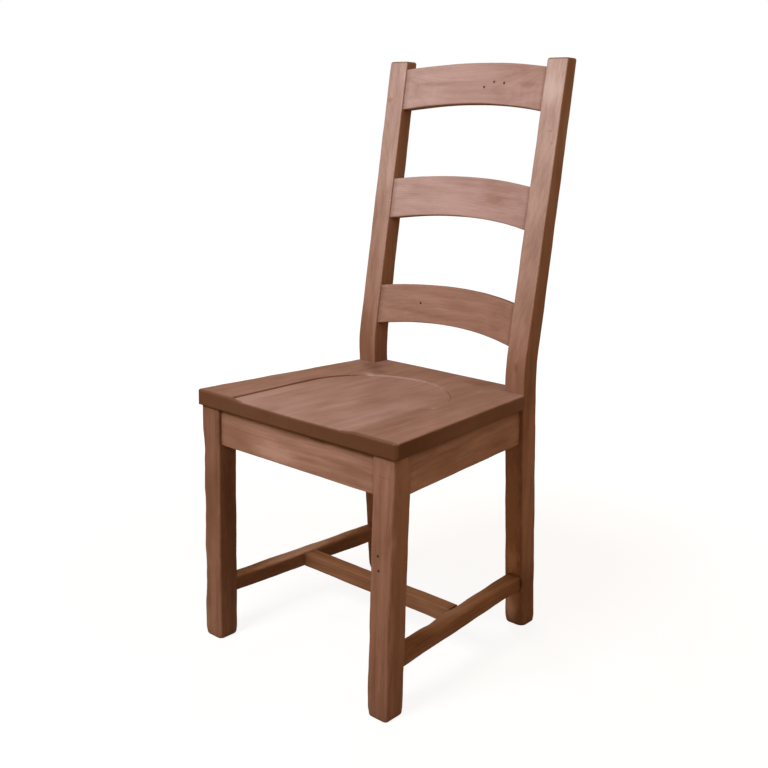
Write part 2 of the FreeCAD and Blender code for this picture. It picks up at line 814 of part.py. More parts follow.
def screw_pattern(label, length):
    body = doc.addObject("PartDesign::Body", label)
    shank = size("screw_diameter") / 2
    head = size("screw_head_diameter") / 2
    head_top = size("screw_head_top_diameter") / 2
    profile = new_sketch(body, "half_profile", "XZ_Plane", NOTHING)
    closed_outline(profile, [
        (NOTHING, -size("screw_head_depth")), (head_top, -size("screw_head_depth")), (head, NOTHING),
        (shank, NOTHING), (shank, length - size("screw_point")), (NOTHING, length)])
    turned = body.newObject("PartDesign::Revolution", "turned")
    turned.Profile = profile
    turned.ReferenceAxis = (profile, ["V_Axis"])
    turned.Angle = 360
    doc.recompute()
    return body


def screw_copy(pattern, label, place, heading):
    link = doc.addObject("App::Link", label)
    link.LinkedObject = pattern
    link.Placement = FreeCAD.Placement(
        FreeCAD.Vector(*(amount.value for amount in place)),
        FreeCAD.Rotation(FreeCAD.Vector(0, 0, 1), heading))
    for axis, amount in zip("xyz", place):
        link.setExpression("Placement.Base." + axis, amount.formula)
    return link


def screw_group(label, copies):
    group = doc.addObject("Part::Compound", label)
    group.Label = label
    group.Links = copies
    group.setExpression("Placement.Base.y", SHIFT.formula)
    return group


def all_corners():
    return [(side, corner) for side in (LEFT, RIGHT) for corner in (FRONT, REAR)]


def block_screws():
    pattern = screw_pattern("block_screw", size("block_screw_length"))
    copies = []
    for side, corner in all_corners():
        heading, degrees = screw_heading(side, corner)
        for place_x, place_y in block_screw_places(corner):
            label = "block_screw_copy_%d" % (len(copies) + 1)
            copies.append(screw_copy(pattern, label, (place_x * side, place_y, block_middle), heading))
    return screw_group("corner_block_screws", copies)


def seat_screws():
    pattern = screw_pattern("seat_screw", size("seat_screw_length"))
    copies = []
    for side, corner in all_corners():
        place_x, place_y = seat_screw_place(corner)
        label = "seat_screw_copy_%d" % (len(copies) + 1)
        place = (place_x * side, place_y, block_bottom)
        copies.append(screw_copy(pattern, label, place, FreeCAD.Vector(0, 0, 1)))
    return screw_group("seat_screws", copies)


# Build every piece

def chair_box():
    # The exact box of all pieces: a plain bounding box is a little too large at rounded corners
    box = FreeCAD.BoundBox()
    for piece in pieces:
        box.add(piece.Shape.optimalBoundingBox(False, False))
    return box


pieces = []
for side in (LEFT, RIGHT):
    pieces.append(front_leg(side))
    pieces.append(rear_post(side))
pieces.append(plain_apron("front_apron", leg_inner, front_apron_face, front_apron_back, front_apron_joint))
pieces.append(plain_apron("rear_apron", post_inner, rear_apron_face, rear_apron_back, rear_apron_joint))
front_apron, rear_apron = pieces[-2:]
for side in (LEFT, RIGHT):
    apron = side_apron_body(side)
    pieces.append(apron)
    drill_diagonally(front_apron, side, FRONT, 0, SIDE_NAMES[side] + "_screw_pilot")
    drill_diagonally(rear_apron, side, REAR, 0, SIDE_NAMES[side] + "_screw_pilot")
    for corner in (FRONT, REAR):
        drill_diagonally(apron, side, corner, 1, "screw_pilot")
        pieces.append(corner_block(side, corner))
    pieces.append(side_stretcher_body(side))
    pieces.append(seat_board("seat_board_mid_" + SIDE_NAMES[side], side, False))
    pieces.append(seat_board("seat_board_" + SIDE_NAMES[side], side, True))
pieces.append(cross_stretcher_body())
for label, (lift, height) in SLATS.items():
    pieces.append(slat(label, lift, height))
pieces.append(block_screws())
pieces.append(seat_screws())

# Bring the origin under the middle of the chair
doc.recompute()
box = chair_box()
sheet.set(SHIFT_CELL, repr(-round((box.YMin + box.YMax) / 2, 3)))
doc.recompute()

# Check every object, then write each piece to its own file
for item in doc.Objects:
    if any(state in ("Invalid", "Error") for state in item.State):
        raise RuntimeError("%s failed: %s" % (item.Name, item.State))
for piece in pieces:
    if piece.Shape.isNull() or not piece.Shape.isValid():
        raise RuntimeError("%s has no valid shape" % piece.Label)

os.makedirs("parts", exist_ok=True)
for piece in pieces:
    piece.Shape.exportStep("parts/%s.step" % piece.Label)
box = chair_box()
print("whole_chair_shift %s" % sheet.get(SHIFT_CELL))
print("%d pieces, %.1f x %.1f x %.1f mm" % (len(pieces), box.XLength, box.YLength, box.ZLength))
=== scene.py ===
"""A ladderback dining chair in stained reclaimed pine, with rubbed edges and a shallow scooped seat.

Every timber is a billet: rounded-rectangle rings carried along the piece, then bent or leant into place.
The rings' straight coordinates stay on the mesh as its grain, so a board shows the growth rings of one
block of wood on its long faces and its cut ends alike.
"""

import logging
import math
from abc import ABC, abstractmethod
from dataclasses import dataclass, field
from enum import Enum
from typing import NamedTuple, Optional, Sequence, Union

import bpy
import numpy as np
from mathutils import Matrix, Vector


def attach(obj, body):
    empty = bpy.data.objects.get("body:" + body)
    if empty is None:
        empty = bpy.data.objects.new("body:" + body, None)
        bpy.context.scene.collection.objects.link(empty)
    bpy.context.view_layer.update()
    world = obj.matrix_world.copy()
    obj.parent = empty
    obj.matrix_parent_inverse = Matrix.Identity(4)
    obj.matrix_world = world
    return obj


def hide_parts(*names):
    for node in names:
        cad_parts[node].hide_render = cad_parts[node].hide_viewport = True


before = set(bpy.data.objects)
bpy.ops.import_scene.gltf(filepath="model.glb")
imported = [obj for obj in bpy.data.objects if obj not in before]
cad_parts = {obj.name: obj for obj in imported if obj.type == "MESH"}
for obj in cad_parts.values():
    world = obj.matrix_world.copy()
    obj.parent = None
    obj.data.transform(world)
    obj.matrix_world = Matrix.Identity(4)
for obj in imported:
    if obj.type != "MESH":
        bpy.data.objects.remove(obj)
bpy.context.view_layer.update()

LOG = logging.getLogger("ladderback_chair")
BODY = "root"

# The chair is worked out in millimetres, with y = 0 at the front of the front legs
METRES_PER_MM = 0.001
DRAWING_SHIFT = (0.0, -247.455, 0.0)

Array = np.ndarray
Socket = bpy.types.NodeSocket
Triple = tuple[float, float, float]
Pair = tuple[float, float]
Four = tuple[float, float, float, float]
Table = tuple[tuple[float, ...], tuple[float, ...]]
Amount = Union[float, Socket]
WHITE: Triple = (1.0, 1.0, 1.0)


class Side(Enum):
    """The two sides of the chair, as the sign of x."""

    LEFT = -1
    RIGHT = 1


# ---- Small curves ----

def smooth_step(value: Array) -> Array:
    """Rise from 0 to 1 as value goes from 0 to 1: three times its square less twice its cube."""
    inside = np.clip(value, 0.0, 1.0)
    return inside * inside * (3.0 - 2.0 * inside)


def ramp(value: Array, start: float, reach: float) -> Array:
    """Rise from 0 to 1 by a smooth step, from the start over the reach."""
    return smooth_step((value - start) / reach)


def bell(offset: Array) -> Array:
    """Give a bell curve: e to the power of minus the offset squared."""
    return np.exp(-offset ** 2)


def fade(distance: Array, length: float) -> Array:
    """Fall from 1 at distance 0, by a factor of e over each length."""
    return np.exp(-distance / length)


def arc_rise(place: Array, half_chord: float, rise: float) -> Array:
    """Give a circular arc's height above its level chord.

    The circle's radius is (half chord squared + rise squared) / (2 x rise). Its height at the place is
    taken less the distance from its centre to the chord.

    Args:
        place: distances from the chord's middle.
        half_chord: half of the chord.
        rise: the arc's height over the chord's middle.

    Returns:
        The heights, which are 0 beyond the chord.
    """
    radius = (half_chord ** 2 + rise ** 2) / (2.0 * rise)
    inside = np.clip(place, -half_chord, half_chord)
    return np.sqrt(radius ** 2 - inside ** 2) - (radius - rise)


def front_share(depth: Array) -> Array:
    """Give 1 on a front face and 0 from 3.3 mm behind it."""
    return 1.0 - smooth_step((depth - 0.9) / 2.4)


def corner_inset(distance: Array, radius: float) -> Array:
    """Draw a face in by a quarter-round: its radius less the height of its circle at the distance."""
    left = np.clip(radius - distance, 0.0, radius)
    return radius - np.sqrt(radius ** 2 - left ** 2)


def drifts(seed: int, size: float, place: Array, wavelength: float = 210.0) -> Array:
    """Wander slowly along a timber in four ways, each three sine waves of falling length and height.

    Args:
        seed: draws the first way's phases. The others take the next three seeds.
        size: how far each way goes to either side.
        place: positions along the timber.
        wavelength: the longest wave.

    Returns:
        size times the weighted sum of the waves' sines, one row a place and one column a way.
    """
    phases = np.stack([np.random.default_rng(seed + way).uniform(0.0, 2.0 * np.pi, 3)
                       for way in range(4)])
    turns = 2.0 * np.pi * place[:, None, None] / (wavelength * np.array([1.0, 0.47, 0.23]))
    return size * (np.sin(turns + phases) @ np.array([0.58, 0.28, 0.14]))


# ---- Node trees ----

class Graph:
    """Adds linked nodes to a tree, so that a finish reads like its formula."""

    def __init__(self, tree: bpy.types.NodeTree) -> None:
        """Keep the tree that the nodes go into."""
        self.tree = tree

    def feed(self, socket: Socket, value: object) -> None:
        """Link a socket to an input, or set the input to a plain value.

        Args:
            socket: the input.
            value: a socket, a number or a triple. A colour gets an alpha of 1.
        """
        if isinstance(value, Socket):
            self.tree.links.new(value, socket)
        else:
            socket.default_value = (*value, 1.0) if socket.type == "RGBA" else value

    def node(self, kind: str, *values: object, **named: object) -> bpy.types.Node:
        """Add a node.

        Args:
            kind: its Blender type, without ShaderNode.
            values: what its first inputs take, in order.
            named: its attributes in small letters, and its inputs with a capital and _ for a space.

        Returns:
            The new node.
        """
        made = self.tree.nodes.new("ShaderNode" + kind)
        for name, value in named.items():
            if name[0].islower():
                setattr(made, name, value)
            else:
                self.feed(made.inputs[name.replace("_", " ")], value)
        for socket, value in zip(made.inputs, values):
            self.feed(socket, value)
        return made

    def math(self, operation: str, *values: Amount) -> Socket:
        """Work out a sum of numbers."""
        return self.node("Math", *values, operation=operation).outputs[0]

    def vector(self, operation: str, *values: Union[Triple, Socket]) -> Socket:
        """Work out a sum of vectors: a number for a length, and a vector for any other operation."""
        made = self.node("VectorMath", *values, operation=operation)
        return made.outputs["Value" if operation == "LENGTH" else "Vector"]

    def noise(self, place: Socket, scales: Triple, detail: float = 2.0, output: int = 0) -> Socket:
        """Read a noise that has its own number of waves a metre along, across and through."""
        stretched = self.vector("MULTIPLY", place, scales)
        return self.node("TexNoise", Vector=stretched, Scale=1.0, Detail=detail).outputs[output]

    def rise(self, value: Amount, low: Amount, high: Amount) -> Socket:
        """Go smoothly from 0 to 1 as the value goes from low to high."""
        return self.node("MapRange", value, low, high, interpolation_type="SMOOTHSTEP").outputs["Result"]

    def mix(self, share: Amount, first: object, second: object) -> Socket:
        """Mix two colours.

        Args:
            share: how much of the second colour.
            first: a colour or its socket.
            second: a colour or its socket.

        Returns:
            The mixed colour.
        """
        made = self.node("Mix", share, data_type="RGBA")
        self.feed(made.inputs[6], first)
        self.feed(made.inputs[7], second)
        return made.outputs[2]

    def attribute(self, name: str, output: str = "Fac") -> Socket:
        """Read one of the mesh's attributes."""
        return self.node("Attribute", attribute_name=name).outputs[output]

    def close_group(self, *values: Socket) -> bpy.types.NodeTree:
        """Feed a group's outputs in order.

        Args:
            values: what the outputs give.

        Returns:
            The finished group.
        """
        for socket, value in zip(self.tree.nodes.new("NodeGroupOutput").inputs, values):
            self.feed(socket, value)
        return self.tree


def cleared(owner: Union[bpy.types.Material, bpy.types.World]) -> Graph:
    """Empty the node tree of a material or world.

    Args:
        owner: the material or world.

    Returns:
        The tree's graph.
    """
    owner.use_nodes = True
    owner.node_tree.nodes.clear()
    return Graph(owner.node_tree)


def new_group(name: str, inputs: dict[str, str], outputs: Sequence[str]) -> tuple[Graph, object]:
    """Start a shader node group.

    Args:
        name: the group's name.
        inputs: the kind of each input socket, by its label.
        outputs: the labels of the outputs, which are all numbers.

    Returns:
        The group's graph, and its inputs' sockets by label.
    """
    tree = bpy.data.node_groups.new(name, "ShaderNodeTree")
    for label, kind in inputs.items():
        tree.interface.new_socket(name=label, in_out="INPUT", socket_type="NodeSocket" + kind)
    for label in outputs:
        tree.interface.new_socket(name=label, in_out="OUTPUT", socket_type="NodeSocketFloat")
    return Graph(tree), tree.nodes.new("NodeGroupInput").outputs


def pine_figure_group() -> bpy.types.NodeTree:
    """Make the figure of sawn pine from a board's grain coordinates.

    A growth ring's place is the distance from a pith that runs nearly along the board, bent by a slow
    noise, over the ring width. Its late wood is a band just before each whole number. Streaks and fibres
    are noises stretched along the board, and clouds are where the stain took unevenly.

    Returns:
        The group, with outputs from 0 to 1.
    """
    graph, given = new_group("pine_figure", {"Grain": "Vector", "Pith": "Vector", "Ring Width": "Float"},
                             ("Late Wood", "Streaks", "Fibres", "Clouds"))
    grain = given["Grain"]
    slow = graph.vector("SUBTRACT", graph.noise(grain, (2.2, 9.0, 9.0), output=1), (0.5, 0.5, 0.5))
    bend = graph.vector("MULTIPLY", slow, (0.0, 0.055, 0.055))
    crosswise = graph.vector("MULTIPLY", graph.vector("SUBTRACT", grain, given["Pith"]),
                             (0.028, 1.0, 1.0))
    distance = graph.vector("LENGTH", graph.vector("ADD", crosswise, bend))
    ring = graph.math("FRACT", graph.math("DIVIDE", distance, given["Ring Width"]))
    late = graph.math("MULTIPLY", graph.rise(ring, 0.25, 0.86),
                      graph.math("SUBTRACT", 1.0, graph.rise(ring, 0.88, 1.0)))
    return graph.close_group(late, graph.noise(grain, (4.5, 95.0, 95.0), 3.0),
                             graph.noise(grain, (30.0, 800.0, 800.0)),
                             graph.noise(grain, (9.0, 24.0, 24.0), 4.0))


def rubbed_edge_group() -> bpy.types.NodeTree:
    """Make the mask of the arrises that hands and feet have rubbed.

    The mask is the nearness to an arris, which the mesh carries, less a noise that breaks the band up.

    Returns:
        The group, with one output from 0 to 1.
    """
    graph, given = new_group("rubbed_edges", {"Grain": "Vector", "Nearness": "Float"}, ("Mask",))
    patches = graph.noise(given["Grain"], (28.0, 60.0, 60.0), 3.0)
    kept = graph.math("SUBTRACT", given["Nearness"], graph.math("MULTIPLY", patches, 0.9))
    return graph.close_group(graph.rise(kept, 0.0, 0.45))


def spot_group() -> bpy.types.NodeTree:
    """Make the mask of one soft spot, such as a knot, a stain, a bore or a patch of painted light or
    shade.

    The distance from the spot's centre is measured in its own reach along each axis, and a noise makes
    its edge uneven. The mask is 1 within the core and 0 beyond the reach.

    Returns:
        The group, with one output from 0 to 1.
    """
    graph, given = new_group("spot", {"Grain": "Vector", "Centre": "Vector", "Reach": "Vector",
                                      "Core": "Float"}, ("Mask",))
    grain, core = given["Grain"], given["Core"]
    offset = graph.vector("SUBTRACT", grain, given["Centre"])
    distance = graph.vector("LENGTH", graph.vector("DIVIDE", offset, given["Reach"]))
    uneven = graph.math("SUBTRACT", graph.noise(grain, (45.0, 130.0, 130.0)), 0.5)
    uneven = graph.math("MULTIPLY", uneven, graph.math("SUBTRACT", 1.0, core))
    outwards = graph.rise(graph.math("ADD", distance, uneven), core, 1.0)
    return graph.close_group(graph.math("SUBTRACT", 1.0, outwards))


@dataclass(frozen=True)
class SharedGroups:
    """The node groups that every finish uses, built once."""

    pine: bpy.types.NodeTree = field(default_factory=pine_figure_group)
    rubbed: bpy.types.NodeTree = field(default_factory=rubbed_edge_group)
    spot: bpy.types.NodeTree = field(default_factory=spot_group)


# ---- Finishes ----

@dataclass(frozen=True)
class Spot:
    """A soft mark in a timber: its place and reach are in millimetres along, across and through it."""

    place: Triple
    reach: Triple
    tone: Triple
    strength: float = 1.0
    core: float = 0.2
    pit: float = 0.0


def bore(along: float, across: float, through: float) -> Spot:
    """Give the dark little hole of a wood borer."""
    return Spot((along, across, through), (3.0, 3.0, 3.0), (0.035, 0.016, 0.008), core=0.5, pit=3.0)


@dataclass(frozen=True)
class PineFinish:
    """Stained, waxed pine. Colours are linear, and the paler second pair is where the stain has worn
    thin and where light is painted in.
    """

    pale: Triple
    deep: Triple
    stain: Triple
    worn: Triple
    bleach_and_light_pale: Optional[Triple] = None
    bleach_and_light_deep: Optional[Triple] = None
    ring_width: float = 0.0046
    ring_share: float = 0.16
    streak_share: float = 1.8
    cloud_share: float = 1.9
    fibre_share: float = 0.12
    fibre_band: Pair = (0.36, 0.74)
    ring_relief: float = 0.35
    fibre_relief: float = 0.5
    bump_strength: float = 0.35
    bump_depth: float = 0.0005
    roughness: float = 0.5
    roughness_change: float = 0.16
    cut_stain: float = 0.75
    wear: float = 0.15

    def material(self, name: str, groups: SharedGroups, origin: Sequence[float], pith: Sequence[float],
                 spots: Sequence[Spot]) -> bpy.types.Material:
        """Make one timber's material.

        The colour goes from pale to deep with the late wood, streaks and clouds, each by its own share
        either side of the middle, and it pales where the stain is worn and where light is painted in.
        Stain darkens fibres, cut ends, joints and grimy places, painted shade darkens in the same layer,
        rubbed arrises are lighter, and the timber's own spots, some of them painted light and shade, lie
        over it all.

        Args:
            name: the material's name.
            groups: the shared node groups.
            origin: where the timber's grain starts in its block of wood, in metres.
            pith: the pith's place in that block, in metres.
            spots: the timber's own marks.

        Returns:
            The material.
        """
        material = bpy.data.materials.new(name)
        graph = cleared(material)
        grain = graph.attribute("grain", "Vector")
        late, streaks, fibres, clouds = graph.node(
            "Group", node_tree=groups.pine, Grain=grain, Pith=tuple(pith),
            Ring_Width=self.ring_width).outputs
        rubbed = graph.node("Group", node_tree=groups.rubbed, Grain=grain,
                            Nearness=graph.attribute("nearness")).outputs[0]
        fine = graph.rise(fibres, *self.fibre_band)
        layers = [(graph.math("MULTIPLY", fine, self.fibre_share), self.stain),
                  (graph.math("MULTIPLY", graph.attribute("cut"), self.cut_stain), self.stain),
                  (graph.attribute("grime_and_shade"), self.stain),
                  (graph.math("MULTIPLY", rubbed, self.wear), self.worn)]
        relief = graph.math("MULTIPLY_ADD", late, self.ring_relief,
                            graph.math("MULTIPLY", fibres, self.fibre_relief))
        for spot in spots:
            centre = tuple(start + METRES_PER_MM * place for start, place in zip(origin, spot.place))
            reach = tuple(METRES_PER_MM * length for length in spot.reach)
            mask = graph.node("Group", node_tree=groups.spot, Grain=grain, Centre=centre, Reach=reach,
                              Core=spot.core).outputs[0]
            layers.append((graph.math("MULTIPLY", mask, spot.strength), spot.tone))
            if spot.pit > 0.0:
                relief = graph.math("SUBTRACT", relief, graph.math("MULTIPLY", mask, spot.pit))

        bleach_and_light = graph.attribute("bleach_and_light")
        pale = graph.mix(bleach_and_light, self.pale, self.bleach_and_light_pale or self.pale)
        deep = graph.mix(bleach_and_light, self.deep, self.bleach_and_light_deep or self.deep)
        share = 0.5 * (1.0 - self.ring_share - self.streak_share - self.cloud_share)
        for value, amount in ((late, self.ring_share), (streaks, self.streak_share),
                              (clouds, self.cloud_share)):
            share = graph.math("MULTIPLY_ADD", value, amount, share)
        colour = graph.mix(share, pale, deep)
        for share, tone in layers:
            colour = graph.mix(share, colour, tone)
        bump = graph.node("Bump", Strength=self.bump_strength, Distance=self.bump_depth, Height=relief)
        roughness = graph.math("MULTIPLY_ADD", streaks, self.roughness_change,
                               self.roughness - 0.5 * self.roughness_change)
        shader = graph.node("BsdfPrincipled", Base_Color=colour, Roughness=roughness,
                            Normal=bump.outputs["Normal"])
        graph.node("OutputMaterial", shader.outputs["BSDF"])
        return material


LEG_PINE = PineFinish(
    pale=(0.355, 0.19, 0.13), deep=(0.22, 0.104, 0.062), stain=(0.1, 0.038, 0.013),
    worn=(0.36, 0.19, 0.125))
POST_PINE = PineFinish(
    pale=(0.4, 0.218, 0.15), deep=(0.27, 0.132, 0.082), stain=(0.115, 0.044, 0.016),
    worn=(0.42, 0.24, 0.17), bleach_and_light_pale=(0.64, 0.475, 0.445), bleach_and_light_deep=(0.46, 0.31, 0.275))
SLAT_PINE = PineFinish(
    pale=(0.43, 0.25, 0.196), deep=(0.31, 0.168, 0.12), stain=(0.13, 0.052, 0.024),
    worn=(0.46, 0.29, 0.23), bleach_and_light_pale=(0.58, 0.4, 0.38), bleach_and_light_deep=(0.43, 0.272, 0.24))
APRON_PINE = PineFinish(
    pale=(0.48, 0.285, 0.215), deep=(0.3, 0.158, 0.105), stain=(0.115, 0.044, 0.016),
    worn=(0.42, 0.24, 0.17))
STRETCHER_PINE = PineFinish(
    pale=(0.34, 0.17, 0.094), deep=(0.21, 0.092, 0.042), stain=(0.095, 0.036, 0.012),
    worn=(0.34, 0.17, 0.1), cut_stain=0.4, wear=0.05)
SEAT_PINE = PineFinish(
    pale=(0.366, 0.206, 0.158), deep=(0.257, 0.135, 0.096), stain=(0.108, 0.04, 0.011),
    worn=(0.42, 0.24, 0.17), bleach_and_light_pale=(0.525, 0.352, 0.335), bleach_and_light_deep=(0.385, 0.237, 0.206),
    streak_share=1.0, cloud_share=2.3, cut_stain=0.8, wear=0.0)
BLOCK_PINE = PineFinish(
    pale=(0.44, 0.27, 0.175), deep=(0.31, 0.17, 0.098), stain=(0.18, 0.08, 0.036),
    worn=(0.46, 0.29, 0.19), roughness=0.62, cut_stain=0.3, wear=0.2)

# Every timber's marks, by its node: stains, bores and wear, and some patches of painted light and shade
MARKS: dict[str, tuple[Spot, ...]] = {
    "right_front_leg": (
        bore(279.5, 194.5, 0.6), bore(255.7, 196.9, 0.6),
        Spot((409.3, 201.0, 0.0), (1.5, 23.0, 5.0), LEG_PINE.stain, 0.5),
        Spot((405.0, 188.0, 0.0), (60.0, 5.0, 6.0), LEG_PINE.worn, 0.5),
        Spot((380.0, 208.0, 0.0), (75.0, 6.0, 6.0), LEG_PINE.worn, 0.55),
        Spot((300.0, 221.5, 3.0), (110.0, 4.0, 6.0), LEG_PINE.stain, 0.4),
        Spot((150.0, 219.5, 3.5), (95.0, 3.5, 5.0), LEG_PINE.stain, 0.45),
        Spot((350.0, 223.0, 24.0), (200.0, 6.0, 28.0), LEG_PINE.worn, 0.7),
        Spot((420.0, 205.0, 20.0), (80.0, 40.0, 45.0), (0.5, 0.29, 0.22), 0.3)),
    "left_front_leg": (
        Spot((300.0, -205.0, 0.0), (330.0, 40.0, 9.0), LEG_PINE.stain, 0.24),
        # The next three are painted shade on the inner side: beside the apron's end, at its top corner,
        # and lower down beneath the seat
        Spot((400.0, -179.0, 20.0), (110.0, 5.0, 30.0), LEG_PINE.stain, 0.2),
        Spot((404.0, -181.5, 4.0), (40.0, 4.0, 7.0), LEG_PINE.stain, 0.7),
        Spot((170.0, -179.0, 24.0), (190.0, 7.0, 50.0), LEG_PINE.stain, 0.4),
        Spot((30.0, -216.0, 0.0), (32.0, 9.0, 8.0), LEG_PINE.worn, 0.6)),
    "right_rear_post": (
        # A pale patch at the top of the front: partly bleached stain, partly painted light
        Spot((1006.0, 174.0, 448.0), (52.0, 30.0, 8.0), (0.7, 0.56, 0.53), 0.7),
        Spot((926.4, 182.0, 439.5), (3.0, 7.0, 6.0), POST_PINE.pale, 0.6),
        Spot((906.4, 187.3, 436.7), (3.5, 5.0, 6.0), POST_PINE.pale, 0.6),
        Spot((516.2, 178.8, 382.4), (13.0, 6.0, 6.0), POST_PINE.stain, 0.4),
        # The next two are painted light on the front below the seat, where the seat's shadow falls: a
        # broad lighter band, and a pool of light just above the stretcher
        Spot((230.0, 172.0, 407.0), (230.0, 30.0, 45.0), (0.5, 0.28, 0.17), 0.9),
        Spot((134.0, 170.0, 417.0), (44.0, 27.0, 40.0), (0.72, 0.47, 0.36), 0.9),
        Spot((60.0, 199.5, 440.0), (95.0, 9.0, 60.0), POST_PINE.stain, 0.55),
        # Painted shade in the corner beside the stretcher's end
        Spot((91.0, 190.0, 421.0), (19.0, 8.0, 8.0), POST_PINE.stain, 0.8, 0.5),
        # A painted pool of light near the foot
        Spot((48.0, 172.0, 426.0), (42.0, 27.0, 40.0), (0.68, 0.42, 0.3), 0.85)),
    "left_rear_post": (
        Spot((977.3, -189.0, 446.8), (7.0, 11.0, 8.0), POST_PINE.pale, 0.7),
        Spot((840.0, -168.0, 428.0), (60.0, 9.0, 8.0), POST_PINE.bleach_and_light_pale, 0.5),
        Spot((530.0, -184.0, 386.0), (70.0, 40.0, 30.0), POST_PINE.stain, 0.14)),
    "front_apron": (
        Spot((-45.0, 6.5, 391.0), (80.0, 8.0, 20.0), (0.56, 0.355, 0.285), 0.6),
        Spot((-150.0, 6.5, 410.0), (70.0, 8.0, 50.0), APRON_PINE.deep, 0.5),
        Spot((60.0, 6.5, 436.0), (32.0, 6.0, 9.0), APRON_PINE.stain, 0.45),
        Spot((-20.0, 6.5, 430.0), (70.0, 6.0, 6.0), APRON_PINE.stain, 0.3),
        Spot((100.0, 6.5, 408.0), (70.0, 6.0, 3.0), APRON_PINE.stain, 0.25)),
    "right_side_stretcher": (
        Spot((215.0, 192.0, 108.0), (75.0, 18.0, 8.0), (0.36, 0.2, 0.13), 0.5),
        Spot((100.0, 213.0, 104.0), (85.0, 5.0, 6.0), STRETCHER_PINE.stain, 0.5)),
    "left_side_stretcher": (
        # The next two are painted shade on the inner side
        Spot((110.0, -184.0, 92.0), (170.0, 13.0, 24.0), STRETCHER_PINE.stain, 0.45),
        Spot((290.0, -171.0, 92.0), (170.0, 13.0, 24.0), STRETCHER_PINE.stain, 0.45),
        # Painted light on the top face, which the seat shades
        Spot((200.0, -193.0, 108.5), (300.0, 24.0, 6.0), (0.62, 0.4, 0.3), 0.85)),
    "lower_slat": (
        bore(-68.0, 50.9, 20.8),
        Spot((15.0, 58.0, 24.6), (45.0, 15.0, 9.0), SLAT_PINE.stain, 0.2),
        Spot((120.0, 45.0, 13.0), (60.0, 40.0, 9.0), SLAT_PINE.stain, 0.12)),
    "middle_slat": (
        Spot((72.0, 51.0, 20.2), (52.0, 14.0, 9.0), SLAT_PINE.deep, 0.5),),
    "top_slat": (
        bore(13.3, 45.8, 24.6), bore(34.7, 54.4, 23.7), bore(58.2, 52.0, 21.9),
        Spot((-100.0, 50.0, 16.0), (60.0, 7.0, 12.0), SLAT_PINE.deep, 0.5),
        Spot((110.0, 48.0, 13.0), (40.0, 9.0, 12.0), SLAT_PINE.deep, 0.45)),
    "seat_board_left": (
        # The next two are the left post's painted shadow on the seat
        Spot((366.0, -146.0, 470.0), (26.0, 28.0, 9.0), SEAT_PINE.stain, 0.4),
        Spot((347.0, -122.0, 470.0), (26.0, 30.0, 9.0), SEAT_PINE.stain, 0.35)),
    "seat_board_mid_left": (
        # The left post's painted shadow on the seat
        Spot((331.0, -100.0, 470.0), (20.0, 26.0, 9.0), SEAT_PINE.stain, 0.35),
        # A painted highlight on the scoop's back arc
        Spot((304.0, -99.0, 470.0), (10.0, 17.0, 9.0), SEAT_PINE.bleach_and_light_pale, 0.9),
        Spot((90.0, -52.0, 470.0), (95.0, 5.0, 9.0), SEAT_PINE.stain, 0.16),
        *(Spot((-6.0, x, 457.0), (8.0, 1.1, 13.0), SEAT_PINE.stain, 0.5)
          for x in (-52.0, -46.5, -40.0, -33.0, -12.0))),
    "seat_board_mid_right": (
        Spot((165.0, 29.0, 470.0), (48.0, 26.0, 9.0), SEAT_PINE.stain, 0.14),
        Spot((395.0, 86.0, 470.0), (22.0, 34.0, 9.0), SEAT_PINE.stain, 0.25)),
    "seat_board_right": (
        # The next two are painted shade along the scoop's right bank
        Spot((95.0, 129.0, 470.0), (115.0, 8.0, 9.0), SEAT_PINE.stain, 0.22),
        Spot((90.0, 157.0, 470.0), (105.0, 11.0, 9.0), SEAT_PINE.stain, 0.16),
        # A painted highlight where the rim turns on the right
        Spot((204.0, 137.0, 470.0), (9.0, 9.0, 9.0), SEAT_PINE.bleach_and_light_pale, 0.6),
        Spot((60.0, 203.0, 470.0), (60.0, 15.0, 9.0), SEAT_PINE.stain, 0.14)),
}


# ---- Billets: rings carried along a timber ----

ARC_STEPS = 5
CAP_SHARES = (0.82, 0.6, 0.38, 0.18)
NEAR_OFFSETS = np.array([1.2, 3.2])
NEAR_SHARES = np.array([0.08, 0.2])
# A rounded end's rings, as shares of its radius from the end, and a square end's in millimetres
ROUND_END = 1.0 - np.sin(np.linspace(0.0, 0.5 * np.pi, 8)[1:])
SQUARE_END = np.array([0.3, 0.0])
CUT_REACH = 0.25
ARRIS_REACH = 2.6
SMALLEST_RADIUS = 0.35
LARGEST_RADIUS_SHARE = 0.45
TENON_RADIUS = 0.6
RADIUS_CHANGE = 0.33
RADIUS_WAVE = 120.0
# How far from a billet's middle its pith can be, across and along it
PITH_DISTANCE = (45.0, 110.0)
PITH_SHIFT = 300.0
SHARP_FROM = math.radians(38.0)


class Grain(NamedTuple):
    """Points in a billet's own straight coordinates, in millimetres."""

    along: Array
    across: Array
    through: Array


def rows(place: Array, *values: Union[float, Array]) -> Array:
    """Put numbers and arrays side by side as columns, with one row for each place."""
    return np.stack([np.broadcast_to(value, place.shape) for value in values], axis=-1)


def side_places(length: Array, count: int) -> Array:
    """Spread points along a ring's straight side, with two close to each of its ends.

    Args:
        length: the side's length at each ring, as a column.
        count: how many points are spread evenly between the close ones.

    Returns:
        Distances from the side's start, one row a ring.
    """
    close = np.minimum(NEAR_OFFSETS, length * NEAR_SHARES)
    first = close[:, -1:]
    even = first + (length - 2.0 * first) * np.linspace(0.0, 1.0, count + 2)[1:-1]
    return np.concatenate([close, even, length - close[:, ::-1]], axis=1)


